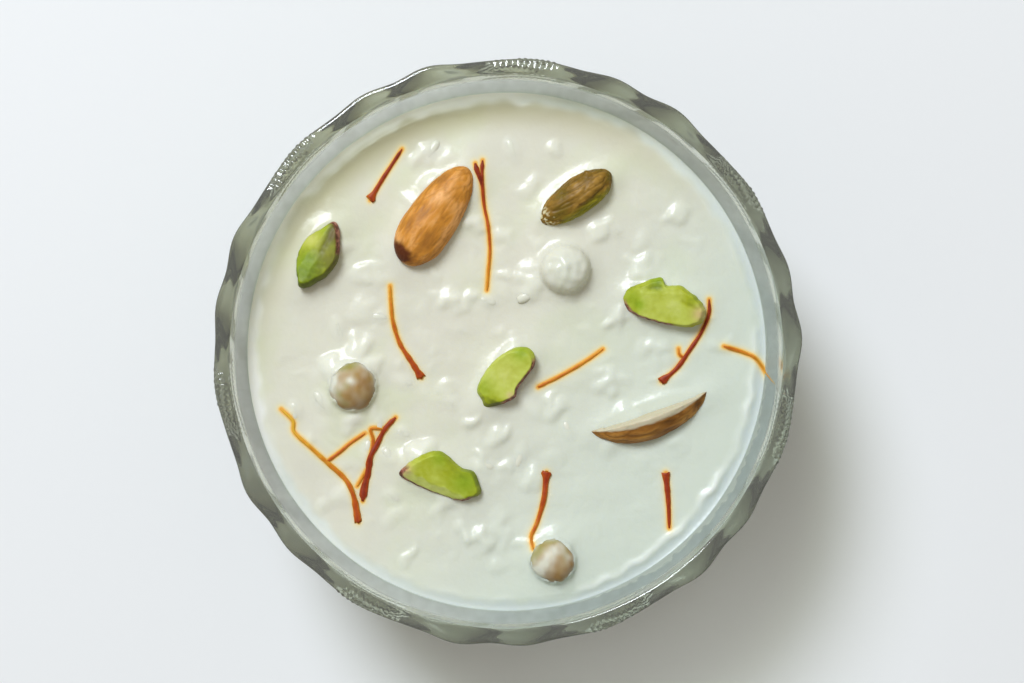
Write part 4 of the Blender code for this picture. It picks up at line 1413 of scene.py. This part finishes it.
def thread_rings(thread, top, rng):
    """Rings of one saffron thread, and the tone of each ring."""
    path = np.array(thread.points) * MM
    length = np.linalg.norm(np.diff(path, axis=0), axis=1).sum()
    count = max(int(length / THREAD_STEP), 8)
    path = spline(path, count)
    share = np.linspace(0.0, 1.0, count)
    along = share * length
    width = np.interp(share, (0.0, 1.0), thread.widths) * MM
    width *= 1.0 + 0.22 * np.interp(along, np.arange(0, 40, 1.1) * MM, rng.uniform(-1.0, 1.0, 37))
    start_taper = 0.45 + 0.55 * step_up(along, 0.0, 1.2 * MM)
    end_taper = 1.0 if thread.flare else 0.45 + 0.55 * step_up(length - along, 0.0, 1.2 * MM)
    width *= start_taper * end_taper
    if thread.flare:
        width += (thread.flare * MM - width) * step_up(along, length - FLARE_LENGTH, length) ** 1.3
    heading = np.gradient(path, axis=0)
    heading /= np.linalg.norm(heading, axis=1)[:, None]
    across = np.column_stack([-heading[:, 1], heading[:, 0]])
    thick = np.minimum(width * THREAD_FLATNESS, 0.5 * MM)
    base = support(top, path[:, 0], path[:, 1]) + THREAD_LIFT
    base += 0.14 * MM * np.interp(along, np.arange(0, 40, 2.3) * MM, rng.uniform(0.0, 1.0, 18))
    turn = np.linspace(0.0, math.tau, THREAD_SIDES, endpoint=False)
    frill = rng.uniform(-0.45, 0.45, THREAD_SIDES) * MM
    rings = []
    for i in range(count):
        side = np.cos(turn) * width[i] / 2
        at_end = step_up(np.array(along[i]), length - 0.8 * MM, length) if thread.flare else 0.0
        forward = frill * at_end
        x = path[i, 0] + across[i, 0] * side + heading[i, 0] * forward
        y = path[i, 1] + across[i, 1] * side + heading[i, 1] * forward
        rings.append(np.column_stack([x, y, base[i] + np.sin(turn) * thick[i] / 2]))
    tone = np.interp(share, (0.0, 1.0), thread.tones)
    return np.array(rings), tone[:, None] - THREAD_EDGE * np.cos(turn) ** 4


def saffron_mesh(top):
    """All the threads, draped over the pudding."""
    rng = np.random.RandomState(SEED + 6)
    points, faces, tones = [], [], []
    for thread in THREADS:
        rings, tone = thread_rings(thread, top, rng)
        faces.extend(loft_faces(len(rings), THREAD_SIDES, sum(len(p) for p in points)))
        points.append(loft_points(rings))
        tones.append(np.append(tone, tone[[0, -1], 0]))
    mesh = solid_mesh("saffron_threads", np.vstack(points), faces)
    paint(mesh, "ripe", np.concatenate(tones))
    return mesh


def saffron():
    """Dried saffron stigmas softened in milk: deep red at the open end, running to yellow at the style."""
    finish = Finish("soaked_saffron")
    shifted = finish.math("MULTIPLY_ADD", finish.noise(1.3 * MM, 3.0), 0.4, finish.painted("ripe"))
    color = finish.ramp(finish.math("SUBTRACT", shifted, 0.2, clamp=True), (0.0, "#E2B33A"), (0.3, "#D08422"),
                        (0.55, "#B7561A"), (0.8, "#963618"), (1.0, "#6A2212"))
    return finish.done(finish.principled(color, 0.45, 1.42, (0.15, (0.8, 0.3, 0.1)), specular=0.25))


@button("kheer_pudding", "Saffron")
def add_saffron(settings):
    """Adds the saffron threads."""
    add_piece("saffron_threads", saffron_mesh(PuddingTop(settings)), saffron())


# --- stage

FLOOR_WIDTH = 6.0
KEY_BEARING = math.radians(120)
KEY_ELEVATION = math.radians(52)
KEY_DISTANCE = 2.2
CAMERA_X = 1.1 * MM
CAMERA_Y = 2.06 * MM
VIEW_WIDTH = 204.8 * MM  # what the camera takes in at the rim
SENSOR_WIDTH = 36.0
CLOUD_SIZE = 0.25  # of the unevenness in the table top


def laminate(settings):
    """A matt white laminate table top, with the faint unevenness that keeps it from looking blank."""
    finish = Finish("matt_white_laminate")
    cloud = finish.noise(CLOUD_SIZE, 2.0)
    color = finish.ramp(cloud, (0.3, "#E8EAEB"), (0.7, settings.floor))
    return finish.done(finish.principled(color, 0.6, 1.5))


def stand(name, data, place):
    """Puts a lamp or a camera in the scene."""
    holder = bpy.data.objects.new(name, data)
    bpy.context.scene.collection.objects.link(holder)
    holder.location = place
    return holder


@button("kheer_stage", "Floor, lights and camera")
def add_stage(settings):
    """Adds the pale floor, the soft lights and the camera that looks straight down."""
    bpy.ops.mesh.primitive_plane_add(size=FLOOR_WIDTH)
    floor = bpy.context.object
    floor.name = "floor"
    floor.data.materials.append(laminate(settings))

    key = bpy.data.lights.new("key_light", "AREA")
    key.shape = "DISK"
    key.size = settings.key_size
    key.energy = settings.key_power
    key.color = linear("#F1F7FF")[:3]
    towards = Vector((
        math.cos(KEY_ELEVATION) * math.cos(KEY_BEARING),
        math.cos(KEY_ELEVATION) * math.sin(KEY_BEARING),
        math.sin(KEY_ELEVATION),
    ))
    lamp = stand("key_light", key, Vector((0.0, 0.0, RIM_HEIGHT)) + towards * KEY_DISTANCE)
    lamp.rotation_euler = towards.to_track_quat("Z", "Y").to_euler()

    scene = bpy.context.scene
    scene.world = bpy.data.worlds.new("room")
    scene.world.use_nodes = True
    sky = scene.world.node_tree.nodes["Background"]
    sky.inputs["Color"].default_value = linear("#FFF8EB")
    sky.inputs["Strength"].default_value = settings.sky

    camera = bpy.data.cameras.new("camera")
    camera.sensor_width = SENSOR_WIDTH
    camera.lens = SENSOR_WIDTH * settings.camera_height / VIEW_WIDTH
    scene.camera = stand("camera", camera, (CAMERA_X, CAMERA_Y, RIM_HEIGHT + settings.camera_height))
    scene.view_settings.view_transform = "Standard"


# --- the add-on


class KHEER_PT_panel(bpy.types.Panel):
    """The bowl's settings and the buttons that build its pieces."""

    bl_idname = "KHEER_PT_panel"
    bl_label = "Kheer bowl"
    bl_space_type = "VIEW_3D"
    bl_region_type = "UI"
    bl_category = "Kheer bowl"

    def draw(self, context):
        for group, operators in BUTTONS.items():
            box = self.layout.box()
            settings = getattr(context.scene, group)
            for name in settings.__annotations__:
                box.prop(settings, name)
            for operator in operators:
                box.operator(operator.bl_idname)


CLASSES = (
    *SETTINGS.values(),
    *(operator for operators in BUTTONS.values() for operator in operators),
    KHEER_PT_panel,
)


def register():
    for cls in CLASSES:
        bpy.utils.register_class(cls)
    for name, group in SETTINGS.items():
        setattr(bpy.types.Scene, name, PointerProperty(type=group))


def unregister():
    for name in SETTINGS:
        delattr(bpy.types.Scene, name)
    for cls in reversed(CLASSES):
        bpy.utils.unregister_class(cls)


def main():
    register()
    bpy.ops.kheer.add_bowl()
    bpy.ops.kheer.add_pudding()
    bpy.ops.kheer.add_rice()
    bpy.ops.kheer.add_milk_film()
    bpy.ops.kheer.add_almonds()
    bpy.ops.kheer.add_raisins()
    bpy.ops.kheer.add_pistachios()
    bpy.ops.kheer.add_saffron()
    bpy.ops.kheer.add_stage()


if __name__ == "__main__":
    main()
